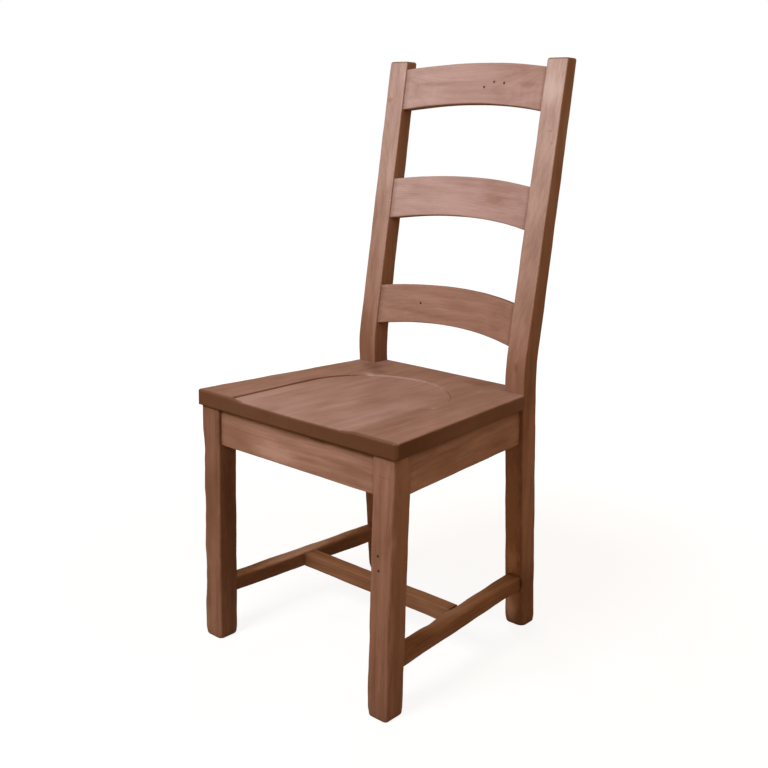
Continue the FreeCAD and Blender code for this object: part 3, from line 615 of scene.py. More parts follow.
def ring_points(limits: Array, radii: Array, columns: Sequence[int]) -> tuple[Array, Array, Array]:
    """Work out the rounded rectangle of each ring.

    The ring runs anticlockwise with b to the right and c up: at each corner a quarter circle, then a
    straight side. b + ic is one complex number, so a quarter circle's point is its centre plus the
    radius times e to the power of i times its angle.

    Args:
        limits: low b, high b, low c and high c of each ring.
        radii: the radius at the corners low-low, high-low, high-high and low-high of each ring.
        columns: how many even points each of the four sides has.

    Returns:
        b and c of every point, and its distance from the nearest corner arc, one row a ring.
    """
    low_b, high_b, low_c, high_c = limits.T[:, :, None]
    corners = (low_b + 1j * low_c, high_b + 1j * low_c, high_b + 1j * high_c, low_b + 1j * high_c)
    turns = np.linspace(0.0, 0.5 * np.pi, ARC_STEPS + 1)
    arcs = []
    for number, inward in enumerate((1.0 + 1.0j, -1.0 + 1.0j, -1.0 - 1.0j, 1.0 - 1.0j)):
        radius, angles = radii[:, number:number + 1], np.pi + 0.5 * np.pi * number + turns
        arcs.append(corners[number] + inward * radius + radius * np.exp(1j * angles))
    points, far = [], []
    for arc, following, count in zip(arcs, arcs[1:] + arcs[:1], columns):
        run = following[:, :1] - arc[:, -1:]
        length = np.abs(run)
        places = side_places(length, count)
        points += [arc, arc[:, -1:] + run * (places / length)]
        far += [np.zeros(arc.shape), np.minimum(places, length - places)]
    ring = np.concatenate(points, axis=1)
    return ring.real, ring.imag, np.concatenate(far, axis=1)


def closed_faces(points: Array, rings: int, width: int) -> list[list[int]]:
    """Join rings into a closed surface whose faces point outwards.

    Point j of ring i is number i x width + j, and the last two points close the ends. The sum of each
    triangle's first corner times the cross product of its next two is six times the volume. Where it is
    negative, as on a mirrored timber, every face is turned round.

    Args:
        points: all points, with the two end points last.
        rings: the number of rings.
        width: the number of points in a ring.

    Returns:
        The faces as lists of point numbers.
    """
    here, after = np.arange(width), (np.arange(width) + 1) % width
    starts = width * np.arange(rings - 1)[:, None]
    quads = np.stack([starts + here, starts + after, starts + width + after, starts + width + here],
                     axis=-1).reshape(-1, 4)
    last = (rings - 1) * width
    caps = np.concatenate([rows(here, rings * width, after, here),
                           rows(here, rings * width + 1, last + here, last + after)])
    triangles = np.concatenate([quads[:, :3], quads[:, [0, 2, 3]], caps])
    first, second, third = (points[triangles[:, corner]] for corner in range(3))
    if np.einsum("ij,ij->", first, np.cross(second, third)) < 0.0:
        quads, caps = quads[:, ::-1], caps[:, ::-1]
    return quads.tolist() + caps.tolist()


@dataclass
class Timber(ABC):
    """One wooden piece: a billet whose rings are a function of the place along it.

    Each group of four numbers is for its near, far, low and high face, or for the arrises near low, far
    low, far high and near high. Near is towards the chair's middle, or the lower b where it has no twin.
    """

    node: str
    seed: int
    slot: str
    finish: PineFinish
    side: Side = Side.RIGHT
    step: float = 9.0
    columns: tuple[int, int, int, int] = (3, 3, 3, 3)
    arrises: Four = (2.0, 2.0, 2.0, 2.0)
    start_rounds: Four = (0.0, 0.0, 0.0, 0.0)
    end_rounds: Four = (0.0, 0.0, 0.0, 0.0)
    tenons: Pair = (0.0, 0.0)
    wander: float = 0.35
    wander_shares: Four = (1.0, 1.0, 1.0, 1.0)
    shoulder_stain: float = 0.5
    shoulder_reach: float = 4.0
    # Painted shade beneath the seat: how strong it is, and how fast it fades downwards
    seat_shade: float = 0.0
    seat_shade_reach: float = 7.0
    pith_place: Optional[Pair] = None

    @abstractmethod
    def reach(self) -> Pair:
        """Give where the timber starts and ends along its length, without its tenons."""

    @abstractmethod
    def section(self, place: Array) -> Array:
        """Give low b, high b, low c and high c at places along the timber."""

    @abstractmethod
    def put(self, at: Grain) -> Array:
        """Bend or lean the billet's coordinates into the drawing's x, y and z."""

    def joint_section(self, place: Array) -> Array:
        """Give the tenon's section."""
        return self.section(place)

    def radii(self, place: Array) -> Array:
        """Give the radius of the four long arrises at each place."""
        return self.by_arris(place, *self.arrises)

    def bleach_and_light(self, at: Grain) -> Array:
        """Give how far the colour pales at each point, from 0 to 1: stain worn thin, and painted light.
        """
        return np.zeros_like(at.along)

    def grime_and_shade(self, at: Grain) -> Array:
        """Give how dark the wood is made, from 0 to 1: stain at the shoulders, and painted shade beneath
        the seat.
        """
        beneath = self.seat_shade * fade((DRAWING.seat_bottom - at.through).clip(0.0), self.seat_shade_reach)
        return self.shoulder_stain * fade(self.from_ends(at.along), self.shoulder_reach) + beneath

    def from_ends(self, along: Array) -> Array:
        """Give the distance from the nearer end, and 0 in a tenon."""
        start, end = self.reach()
        return np.minimum(along - start, end - along).clip(0.0)

    def ordered(self, near: object, far: object) -> tuple[object, object]:
        """Put what belongs to the near and the far face in the order of rising x."""
        return (near, far) if self.side is Side.RIGHT else (far, near)

    def mirrored(self, near: Array, far: Array) -> tuple[Array, Array]:
        """Put two distances from the chair's middle on this side of it, in the order of rising x."""
        return self.ordered(self.side.value * near, self.side.value * far)

    def by_face(self, near: float, far: float, low: float, high: float) -> Four:
        """Put the four faces' numbers in the order of a ring's limits."""
        return (*self.ordered(near, far), low, high)

    def by_arris(self, place: Array, near_low: Array, far_low: Array, far_high: Array,
                 near_high: Array) -> Array:
        """Put the four arrises' radii in the order of a ring's corners."""
        return rows(place, *self.ordered(near_low, far_low), *self.ordered(near_high, far_high)[::-1])

    def rings(self) -> Array:
        """List the rings from start to end.

        The rings close up towards rounded ends by the sine of an even angle. A tenon adds a second ring
        at its shoulder and two more along it. Each end closes with rings that shrink to a point.

        Returns:
            One row a ring: its place, 1 in a tenon, its share of the full size, and how far it is cut.
        """
        (start, end), tables = self.reach(), []
        first, last = max(self.start_rounds), max(self.end_rounds)
        near_start, near_end = (radius * ROUND_END if radius else SQUARE_END for radius in (first, last))
        count = max(int(round((end - start - first - last) / self.step)), 2)
        body = np.linspace(start + first, end - last, count + 1)
        body = body[int(not first):len(body) - int(not last)]
        body = np.concatenate([(start + near_start)[::-1], body, end - near_end])
        cut = 1.0 - smooth_step(np.minimum((body - start) / max(first, CUT_REACH),
                                           (end - body) / max(last, CUT_REACH)))
        for anchor, tenon, outwards in zip((start, end), self.tenons, (-1.0, 1.0)):
            tip = anchor + outwards * tenon
            steps = [anchor, tip - outwards, tip] if tenon else []
            places = np.array(steps + [tip] * len(CAP_SHARES))
            shares = [1.0] * len(steps) + list(CAP_SHARES)
            tables.append(rows(places, places, float(bool(steps)), shares, 1.0))
        return np.concatenate([tables[0][::-1], rows(body, body, 0.0, 1.0, cut), tables[1]])

    def outline(self, place: Array, in_joint: Array, shares: Array) -> tuple[Array, Array, Array]:
        """Work out every ring's points in billet coordinates.

        Each face wanders inwards by a slow drift, and near a rounded end it is drawn in by the rounding.
        The arrises' radii vary by a third along the timber.

        Args:
            place: where each ring is.
            in_joint: 1 for the rings of a tenon, as a column.
            shares: each ring's share of its full size, as a column.

        Returns:
            b, c and the distance from the nearest arris, one row a ring.
        """
        (start, end), half = self.reach(), 0.5 * self.wander
        wanders, first, last = (np.array(self.by_face(*four)) for four in (
            self.wander_shares, self.start_rounds, self.end_rounds))
        rounding = (corner_inset((place - start)[:, None], first)
                    + corner_inset((end - place)[:, None], last))
        inset = (drifts(17 * self.seed, half, place) + half) * wanders + rounding
        drawn = np.maximum(inset[:, [0, 1, 1, 0]], inset[:, [2, 2, 3, 3]])
        vary = 1.0 + drifts(29 * self.seed, RADIUS_CHANGE, place, RADIUS_WAVE)
        radii = np.maximum(self.radii(place) * vary - 0.45 * drawn, SMALLEST_RADIUS)
        limits = np.where(in_joint > 0.5, self.joint_section(place),
                          self.section(place) + inset * (1.0, -1.0, 1.0, -1.0))
        smaller = np.minimum(limits[:, 1] - limits[:, 0], limits[:, 3] - limits[:, 2])[:, None]
        radii = np.where(in_joint > 0.5, TENON_RADIUS, radii)
        radii = np.minimum(radii, LARGEST_RADIUS_SHARE * smaller)
        across, through, far = ring_points(limits, radii, self.columns)
        middle_b = 0.5 * (limits[:, :1] + limits[:, 1:2])
        middle_c = 0.5 * (limits[:, 2:3] + limits[:, 3:])
        return middle_b + (across - middle_b) * shares, middle_c + (through - middle_c) * shares, far

    def origin(self) -> Array:
        """Give where the billet's grain starts in its block of wood, in metres, from the seed."""
        return np.random.default_rng(self.seed + 900).uniform(-3.0, 3.0, 3)

    def pith(self) -> Array:
        """Give the pith's place in the block.

        Returns:
            Its place in metres: 45 to 110 mm from the billet's middle, or where pith_place sets it.
        """
        draw = np.random.default_rng(self.seed + 500)
        middle = 0.5 * sum(self.reach())
        low_b, high_b, low_c, high_c = self.section(np.array([middle]))[0]
        centre = np.array([middle + draw.uniform(-PITH_SHIFT, PITH_SHIFT), 0.5 * (low_b + high_b),
                           0.5 * (low_c + high_c)])
        angle, far = draw.uniform(0.0, 2.0 * np.pi), draw.uniform(*PITH_DISTANCE)
        offset = self.pith_place or (far * math.cos(angle), far * math.sin(angle))
        return self.origin() + METRES_PER_MM * (centre + np.array([0.0, *offset]))

    def build(self, groups: SharedGroups) -> None:
        """Make the timber's mesh, dress it and put it in the node's place.

        Args:
            groups: the shared node groups.
        """
        place, in_joint, shares, cut = self.rings().T[:, :, None]
        across, through, far = self.outline(place[:, 0], in_joint, shares)
        grid = np.stack([np.broadcast_to(place, far.shape), across, through], axis=-1)
        flat = np.concatenate([grid.reshape(-1, 3), grid[:1].mean(axis=1), grid[-1:].mean(axis=1)])
        at = Grain(*flat.T)
        points = (self.put(at) + DRAWING_SHIFT) * METRES_PER_MM
        mesh = bpy.data.meshes.new(self.node + "_shaped")
        mesh.from_pydata(points.tolist(), [], closed_faces(points, *far.shape))
        nearness = np.maximum(fade(far, ARRIS_REACH) * shares ** 8, (cut > 0.02) & (cut < 0.98))
        layers = {"nearness": np.append(nearness, (0.0, 0.0)),
                  "cut": np.append(np.broadcast_to(cut, far.shape), (1.0, 1.0)),
                  "grime_and_shade": np.clip(self.grime_and_shade(at), 0.0, 1.0),
                  "bleach_and_light": np.clip(self.bleach_and_light(at), 0.0, 1.0)}
        for name, values in layers.items():
            mesh.attributes.new(name, "FLOAT", "POINT").data.foreach_set("value", values)
        mesh.attributes.new("grain", "FLOAT_VECTOR", "POINT").data.foreach_set(
            "vector", (self.origin() + METRES_PER_MM * flat).ravel())
        mesh.shade_smooth()
        mesh.set_sharp_from_angle(angle=SHARP_FROM)
        mesh.materials.append(self.finish.material(
            self.node + "_pine", groups, self.origin(), self.pith(), MARKS.get(self.node, ())))
        piece = bpy.data.objects.new(self.node + "_shaped", mesh)
        bpy.context.scene.collection.objects.link(piece)
        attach(piece, BODY)
        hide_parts(self.node)
        LOG.info("%s: %d faces", piece.name, len(mesh.polygons))


# ---- The chair's drawing: lines that several timbers share, in millimetres ----

@dataclass(frozen=True)
class Drawing:
    """The chair's main sizes, as its solids have them."""

    seat_top: float = 470.0
    seat_bottom: float = 442.0
    back_height: float = 1049.0
    leg_outer: float = 223.0
    leg_inner: float = 179.0
    leg_back: float = 41.0
    post_outer: float = 197.5
    post_inner: float = 156.5
    post_depth: float = 42.0
    post_top_depth: float = 31.0
    post_setback: float = 380.0
    bend_height: float = 509.0
    bend_radius: float = 300.0
    foot_splay: float = 50.0
    top_rake: float = 77.0
    apron_bottom: float = 374.0
    stretcher_bottom: float = 79.5
    stretcher_top: float = 108.0
    shoulder: float = 8.0
    half_tenon: float = 5.0

    def post_line(self, height: Array, at_bend: float, top_run: float) -> Array:
        """Give the y of a post's front or back line.

        Two straight runs meet at the bend's height. Near it a parabola rounds them: it adds the change
        of slope over four tangent lengths, times the square of what is left of the tangent length.

        Args:
            height: heights above the floor.
            at_bend: y where the straight runs meet.
            top_run: how much further back it is at the top.

        Returns:
            y at each height.
        """
        low_slope = -self.foot_splay / self.bend_height
        high_slope = top_run / (self.back_height - self.bend_height)
        above = height - self.bend_height
        straight = at_bend + np.where(above > 0.0, high_slope, low_slope) * above
        turn = math.atan(high_slope) - math.atan(low_slope)
        tangent = self.bend_radius * math.tan(0.5 * turn)
        left = np.clip(tangent - np.abs(above), 0.0, None)
        return straight + (high_slope - low_slope) / (4.0 * tangent) * left ** 2

    def post_face(self, height: Array) -> Array:
        """Give the y of a post's front face."""
        return self.post_line(height, self.post_setback, self.top_rake)

    def post_back(self, height: Array) -> Array:
        """Give the y of a post's back face."""
        top_run = self.top_rake + self.post_top_depth - self.post_depth
        return self.post_line(height, self.post_setback + self.post_depth, top_run)

    def post_face_at(self, height: float) -> float:
        """Give the y of a post's front face at one height."""
        return float(self.post_face(np.array(height)))


DRAWING = Drawing()


@dataclass(frozen=True)
class SideLine:
    """The plan of a side rail's outer face, straight from the front leg to the rear post."""

    front_x: float
    rear_x: float
    rear_y: float
    thickness: float

    def slope(self) -> float:
        """Give how much x changes for each millimetre of y."""
        return (self.rear_x - self.front_x) / (self.rear_y - DRAWING.leg_back)

    def outer(self, y: Array) -> Array:
        """Give the outer face's x."""
        return self.front_x + self.slope() * (y - DRAWING.leg_back)

    def inner(self, y: Array) -> Array:
        """Give the inner face's x."""
        return self.outer(y) - self.thickness


SIDE_APRON = SideLine(217.0, 189.0, DRAWING.post_face_at(DRAWING.apron_bottom), 22.0)
SIDE_STRETCHER = SideLine(217.5, 192.0, DRAWING.post_face_at(DRAWING.stretcher_bottom), 28.0)
FRONT_APRON_BACK = 28.5
REAR_APRON_FACE = 401.58


# ---- Timbers ----

@dataclass
class Upright(Timber):
    """A leg or post, which stands up. Each of its dark bands has a strength, a height and a reach."""

    height: float = 0.0
    foot_wear: float = 0.0
    foot_reach: float = 10.0
    stain_and_shade_bands: tuple[Triple, ...] = ()

    def reach(self) -> Pair:
        """Run from the floor up."""
        return (0.0, self.height)

    def put(self, at: Grain) -> Array:
        """Stand the billet up."""
        return rows(at.along, at.across, at.through, at.along)

    def scuffed(self, place: Array) -> Array:
        """Give how much more the arrises are worn at the foot."""
        return self.foot_wear * bell(place / self.foot_reach)

    def grime_and_shade(self, at: Grain) -> Array:
        """Let each dark band fade upwards and downwards from its height."""
        return sum(strength * fade(np.abs(at.along - height), reach)
                   for strength, height, reach in self.stain_and_shade_bands)


@dataclass
class FrontLeg(Upright):
    """A square front leg with a rounded foot. Its worn front arrises are tables of heights and radii."""

    slot: str = "legs"
    finish: PineFinish = LEG_PINE
    height: float = DRAWING.seat_bottom
    start_rounds: Four = (5.0, 5.0, 4.0, 5.5)
    foot_wear: float = 5.5
    wander_shares: Four = (0.0, 1.0, 1.0, 0.0)
    # The band at the top is painted shade beneath the seat; the other darkens the foot
    stain_and_shade_bands: tuple[Triple, ...] = ((0.45, 442.0, 9.0), (0.35, 0.0, 14.0))
    back_arris: float = 3.2
    inner_arris: Table = ((0.0, 442.0), (5.0, 5.0))
    outer_arris: Table = ((0.0, 442.0), (4.0, 4.0))

    def section(self, place: Array) -> Array:
        """Keep one square section."""
        return rows(place, *self.mirrored(DRAWING.leg_inner, DRAWING.leg_outer), 0.0, DRAWING.leg_back)

    def radii(self, place: Array) -> Array:
        """Wear the two front arrises by their own tables."""
        radii = (np.interp(place, *self.inner_arris), np.interp(place, *self.outer_arris),
                 self.back_arris, self.back_arris)
        return self.by_arris(place, *(radius + self.scuffed(place) for radius in radii))


@dataclass
class RearPost(Upright):
    """A rear post: one long timber, bent above the seat and tapering to its top."""

    slot: str = "posts"
    finish: PineFinish = POST_PINE
    height: float = DRAWING.back_height
    start_rounds: Four = (4.2, 4.2, 4.2, 4.2)
    end_rounds: Four = (4.0, 4.0, 4.0, 4.0)
    foot_wear: float = 7.0
    foot_reach: float = 9.0
    wander: float = 0.5
    wander_shares: Four = (0.0, 1.0, 0.0, 1.0)
    stain_and_shade_bands: tuple[Triple, ...] = ((0.3, 94.0, 18.0), (0.45, 0.0, 14.0))
    seat_shade: float = 0.3
    beside_reach: float = 16.0
    above_reach: float = 70.0
    # Where the front starts to pale upwards, and over what height: worn stain and painted light
    paling_from: float = 500.0
    paling_reach: float = 530.0
    arris: Table = ((0.0, 300.0, 520.0, 1049.0), (4.0, 3.6, 2.6, 2.4))

    def section(self, place: Array) -> Array:
        """Keep the width, and take the depth from the post's two side-view lines."""
        return rows(place, *self.mirrored(DRAWING.post_inner, DRAWING.post_outer),
                    DRAWING.post_face(place), DRAWING.post_back(place))

    def radii(self, place: Array) -> Array:
        """Keep the arrises crisp above the seat, and softer below it."""
        return rows(place, *[np.interp(place, *self.arris) + self.scuffed(place)] * 4)

    def grime_and_shade(self, at: Grain) -> Array:
        """Paint shade on the post beside the seat, and above the seat fading upwards.

        Args:
            at: the points.

        Returns:
            The stain and painted shade, from 0 to 1.
        """
        seat_middle = 0.5 * (DRAWING.seat_bottom + DRAWING.seat_top)
        beside, above = np.abs(at.along - seat_middle), at.along - DRAWING.seat_top
        at_seat = np.maximum(fade(beside, self.beside_reach),
                             fade(above.clip(0.0), self.above_reach) * (above > 0.0))
        return self.seat_shade * at_seat + super().grime_and_shade(at)

    def bleach_and_light(self, at: Grain) -> Array:
        """Pale the front towards the top: partly stain worn thin where hands take hold, partly painted
        light that is brighter high up and on the front than on the sides.
        """
        upwards = np.clip((at.along - self.paling_from) / self.paling_reach, 0.0, 1.0)
        return upwards * front_share(at.through - DRAWING.post_face(at.along))


@dataclass
class Rail(Timber):
    """A level rail, by default an apron, with a tenon in the middle of its thickness at each end."""

    slot: str = "aprons"
    finish: PineFinish = APRON_PINE
    low: float = DRAWING.apron_bottom
    high: float = DRAWING.seat_bottom
    arrises: Four = (2.0, 2.0, 0.6, 0.6)
    # Painted shade on the apron just beneath the seat
    seat_shade: float = 0.55

    @abstractmethod
    def faces(self, place: Array) -> Pair:
        """Give the rail's low and high b at places along it."""

    @abstractmethod
    def middle(self, place: Array) -> Array:
        """Give the middle of the tenon's thickness."""

    def section(self, place: Array) -> Array:
        """Run from face to face and from low to high."""
        return rows(place, *self.faces(place), self.low, self.high)

    def joint_section(self, place: Array) -> Array:
        """Give the tenon, stepped in above and below."""
        middle, half = self.middle(place), DRAWING.half_tenon
        return rows(place, middle - half, middle + half, self.low + DRAWING.shoulder,
                    self.high - DRAWING.shoulder)


@dataclass
class CrossRail(Rail):
    """A straight rail across the chair: b is y and c is z."""

    half_length: float = DRAWING.leg_inner
    front_y: float = 6.5
    thickness: float = 22.0
    tenons: Pair = (25.0, 25.0)
    wander_shares: Four = (1.0, 1.0, 1.0, 0.0)
    shoulder_reach: float = 3.0

    def reach(self) -> Pair:
        """Run from shoulder to shoulder."""
        return (-self.half_length, self.half_length)

    def faces(self, place: Array) -> Pair:
        """Keep one thickness."""
        return (self.front_y, self.front_y + self.thickness)

    def middle(self, place: Array) -> Array:
        """Keep the middle of the thickness."""
        return self.front_y + 0.5 * self.thickness

    def put(self, at: Grain) -> Array:
        """Lay the billet along x."""
        return rows(at.along, *at)


@dataclass
class CrossStretcher(CrossRail):
    """The stretcher across the H: its shoulders meet the slanting side stretchers."""

    slot: str = "stretchers"
    finish: PineFinish = STRETCHER_PINE
    half_length: float = SIDE_STRETCHER.inner(214.5)
    front_y: float = 214.5
    thickness: float = 28.5
    low: float = DRAWING.stretcher_bottom
    high: float = DRAWING.stretcher_top
    arrises: Four = (2.6, 2.6, 2.6, 2.6)
    tenons: Pair = (14.0, 14.0)
    wander: float = 0.5
    wander_shares: Four = (1.0, 1.0, 1.0, 1.0)
    shoulder_reach: float = 4.0
    seat_shade: float = 0.0

    def put(self, at: Grain) -> Array:
        """Lay the billet along x, stretched to the side stretchers' inner faces at each y.

        Between the shoulders x is the travelled share of half the distance between those faces, and
        beyond them a tenon keeps its length.

        Args:
            at: the points.

        Returns:
            Their x, y and z.
        """
        half, limit, far = SIDE_STRETCHER.inner(at.across), self.half_length, np.abs(at.along)
        x = np.where(far <= limit, at.along / limit * half, np.sign(at.along) * (half + far - limit))
        return rows(x, x, at.across, at.through)


@dataclass
class SideRail(Rail):
    """A rail along a side: it follows the seat's taper, and its rear end the post's lean."""

    line: SideLine = SIDE_APRON
    tenons: Pair = (16.5, 12.3)
    tenon_centres: Pair = (206.0, 178.0)
    shoulder_reach: float = 3.5

    def reach(self) -> Pair:
        """Run from the leg's back to the post's face at the rail's underside."""
        return (DRAWING.leg_back, self.line.rear_y)

    def faces(self, place: Array) -> Pair:
        """Follow the outer line, a thickness wide."""
        return self.mirrored(self.line.inner(place), self.line.outer(place))

    def middle(self, place: Array) -> Array:
        """Keep the middle of the rail's end, because a tenon runs straight back."""
        return self.side.value * np.where(place < 0.5 * sum(self.reach()), *self.tenon_centres)

    def put(self, at: Grain) -> Array:
        """Lay the billet along y, and stretch it so that its rear shoulder meets the leaning post.

        Between the shoulders, y is the leg's back plus the travelled share of the way to the post's
        face at that height. Beyond them, a tenon keeps its length. x shifts along the rail's slope.

        Args:
            at: the points.

        Returns:
            Their x, y and z.
        """
        (start, end), face, along = self.reach(), DRAWING.post_face(at.through), at.along
        stretched = start + (along - start) / (end - start) * (face - start)
        y = np.select([along < start, along > end], [along, face + along - end], stretched)
        in_tenon = (along < start) | (along > end)
        slide = np.where(in_tenon, 0.0, self.side.value * self.line.slope() * (y - along))
        return rows(y, at.across + slide, y, at.through)


@dataclass
class SideStretcher(SideRail):
    """A side stretcher, whose inner top arris is knocked about: a dip has a centre, width and depth."""

    slot: str = "stretchers"
    finish: PineFinish = STRETCHER_PINE
    line: SideLine = SIDE_STRETCHER
    low: float = DRAWING.stretcher_bottom
    high: float = DRAWING.stretcher_top
    arrises: Four = (2.8, 2.8, 3.0, 3.0)
    tenons: Pair = (20.0, 18.0)
    tenon_centres: Pair = (203.5, 178.0)
    wander: float = 0.8
    shoulder_reach: float = 5.0
    seat_shade: float = 0.0
    dips: tuple[Triple, ...] = ()
    sink: float = 0.28

    def knocked(self, place: Array) -> Array:
        """Give how much the arris is worn: each dip is its depth times a bell curve."""
        return sum(depth * bell((place - centre) / width) for centre, width, depth in self.dips)

    def radii(self, place: Array) -> Array:
        """Round the inner top arris more where it has been knocked."""
        return self.by_arris(place, *self.arrises[:3], self.arrises[3] + self.knocked(place))

    def section(self, place: Array) -> Array:
        """Sink the top a little where it has been knocked."""
        return super().section(place) - rows(place, 0.0, 0.0, 0.0, self.sink * self.knocked(place))


@dataclass
class Slat(Timber):
    """A back slat: bowed backwards in plan, crowned in front view and leaning with the posts."""

    slot: str = "slats"
    finish: PineFinish = SLAT_PINE
    lift: float = 550.5
    height: float = 76.0
    recess: float = 3.8
    thickness: float = 20.0
    bow: float = 20.9
    top_crown: float = 13.8
    bottom_crown: float = 15.9
    front_paling: float = 0.5
    arrises: Four = (2.3, 2.3, 2.3, 2.3)
    tenons: Pair = (22.0, 22.0)
    shoulder_stain: float = 0.55
    shoulder_reach: float = 3.5

    def reach(self) -> Pair:
        """Run from post to post."""
        return (-DRAWING.post_inner, DRAWING.post_inner)

    def section(self, place: Array) -> Array:
        """Take each face from its own arc: across is up the slat, through is its depth."""
        low, top, front = (arc_rise(place, DRAWING.post_inner, rise)
                           for rise in (self.bottom_crown, self.top_crown, self.bow))
        return rows(place, low, self.height + top, self.recess + front,
                    self.recess + front + self.thickness)

    def joint_section(self, place: Array) -> Array:
        """Give the tenon."""
        middle = self.recess + 0.5 * self.thickness
        return rows(place, DRAWING.shoulder, self.height - DRAWING.shoulder,
                    middle - DRAWING.half_tenon, middle + DRAWING.half_tenon)

    def bleach_and_light(self, at: Grain) -> Array:
        """Pale the slat's front by its own amount: partly worn stain, partly painted light, none on the
        lowest slat.
        """
        depth = at.through - self.section(at.along)[:, 2]
        return self.front_paling * front_share(depth)

    def put(self, at: Grain) -> Array:
        """Lean the billet: up the slat is along the post's upper run, and depth is square to it.

        Args:
            at: the points.

        Returns:
            Their x, y and z.
        """
        rise = DRAWING.back_height - DRAWING.bend_height
        length = math.hypot(DRAWING.top_rake, rise)
        lean_y, lean_z = DRAWING.top_rake / length, rise / length
        start_y = DRAWING.post_setback + DRAWING.top_rake * (self.lift - DRAWING.bend_height) / rise
        return rows(at.along, at.along, start_y + lean_y * at.across + lean_z * at.through,
                    self.lift + lean_z * at.across - lean_y * at.through)


@dataclass(frozen=True)
class Scoop:
    """The seat's shallow U-shaped hollow, open at the front. A ramp is its start and its length."""

    half_width: float = 144.8
    turn_y: float = 191.5
    wall: float = 2.4
    right_wall: float = 31.0
    left_fade: float = 42.0
    depth: float = 2.7
    dish: float = 0.9
    dish_reach: float = 95.0
    bank_overlap: float = 14.0
    bank_reach: float = 30.0
    fade_y: float = 6.0
    side_reach: float = 40.0
    outward_share: float = 0.13
    # Painted shade in the wall: its band, and how much lies all round, in the left wall and at the right
    # turn
    wall_shade_band: Triple = (0.35, 0.8, 0.5)
    least_wall_shade: float = 0.1
    left_wall_shade: float = 0.75
    left_ramp: Pair = (92.0, 30.0)
    right_wall_shade: float = 0.45
    right_ramp: Pair = (40.0, 70.0)
    turn_ramp: Pair = (185.0, 30.0)
    # A painted highlight along the rim, at the back and most on the left
    rim_place: float = -0.6
    rim_width: float = 1.5
    rim_ramp: Pair = (195.0, 60.0)
    rim_left_ramp: Pair = (-125.0, 30.0)
    rim_left_share: float = 0.45
    rim_left_bell: Pair = (-70.0, 40.0)

    def at(self, x: Array, y: Array) -> tuple[Array, Array, Array]:
        """Work out the hollow at places on the seat.

        The distance in from the rim is the half width less x, or less the distance from the turn's
        centre behind it. The wall rises by a smooth step of that distance over the wall's width, and the
        floor dishes by a second, slower step. On the right the wall widens into a bank in front of the
        turn, and on the left it fades out over the last 12 mm before the seat's front edge. Painted
        shade lies in the wall, most of it in the left wall and at the right turn. The rim takes a
        painted highlight round the turn, most at its left.

        Args:
            x: places across the seat.
            y: places from front to back.

        Returns:
            How deep the hollow is, how much painted shade lies in its wall and how much painted
            highlight its rim takes.
        """
        banked = smooth_step((self.turn_y + self.bank_overlap - y) / self.bank_reach)
        banked *= smooth_step(x / self.side_reach)
        faded = smooth_step((self.fade_y - y) / (2.0 * self.fade_y)) * smooth_step(-x / self.side_reach)
        wider = (self.right_wall - self.wall) * banked + (self.left_fade - self.wall) * faded
        wall = self.wall + wider
        inwards = (self.half_width + self.outward_share * wider
                   - np.hypot(x, np.clip(y - self.turn_y, 0.0, None)))
        depth = (self.depth * smooth_step(inwards / wall)
                 + self.dish * smooth_step((inwards - wall) / self.dish_reach))
        foot, top, reach = self.wall_shade_band
        in_wall = smooth_step(inwards / (foot * wall)) * (1.0 - ramp(inwards / wall, top, reach))
        left = self.left_wall_shade * ramp(-x, *self.left_ramp) * (1.0 - faded)
        right = self.right_wall_shade * ramp(x, *self.right_ramp) * ramp(y, *self.turn_ramp)
        # rubbed here is the rim's painted highlight
        rubbed = bell((inwards - self.rim_place) / self.rim_width) * ramp(y, *self.rim_ramp)
        middle, width = self.rim_left_bell
        rubbed *= ramp(x, *self.rim_left_ramp) * (
            1.0 - self.rim_left_share + self.rim_left_share * bell((x - middle) / width))
        return depth, in_wall * (self.least_wall_shade + left + right), rubbed


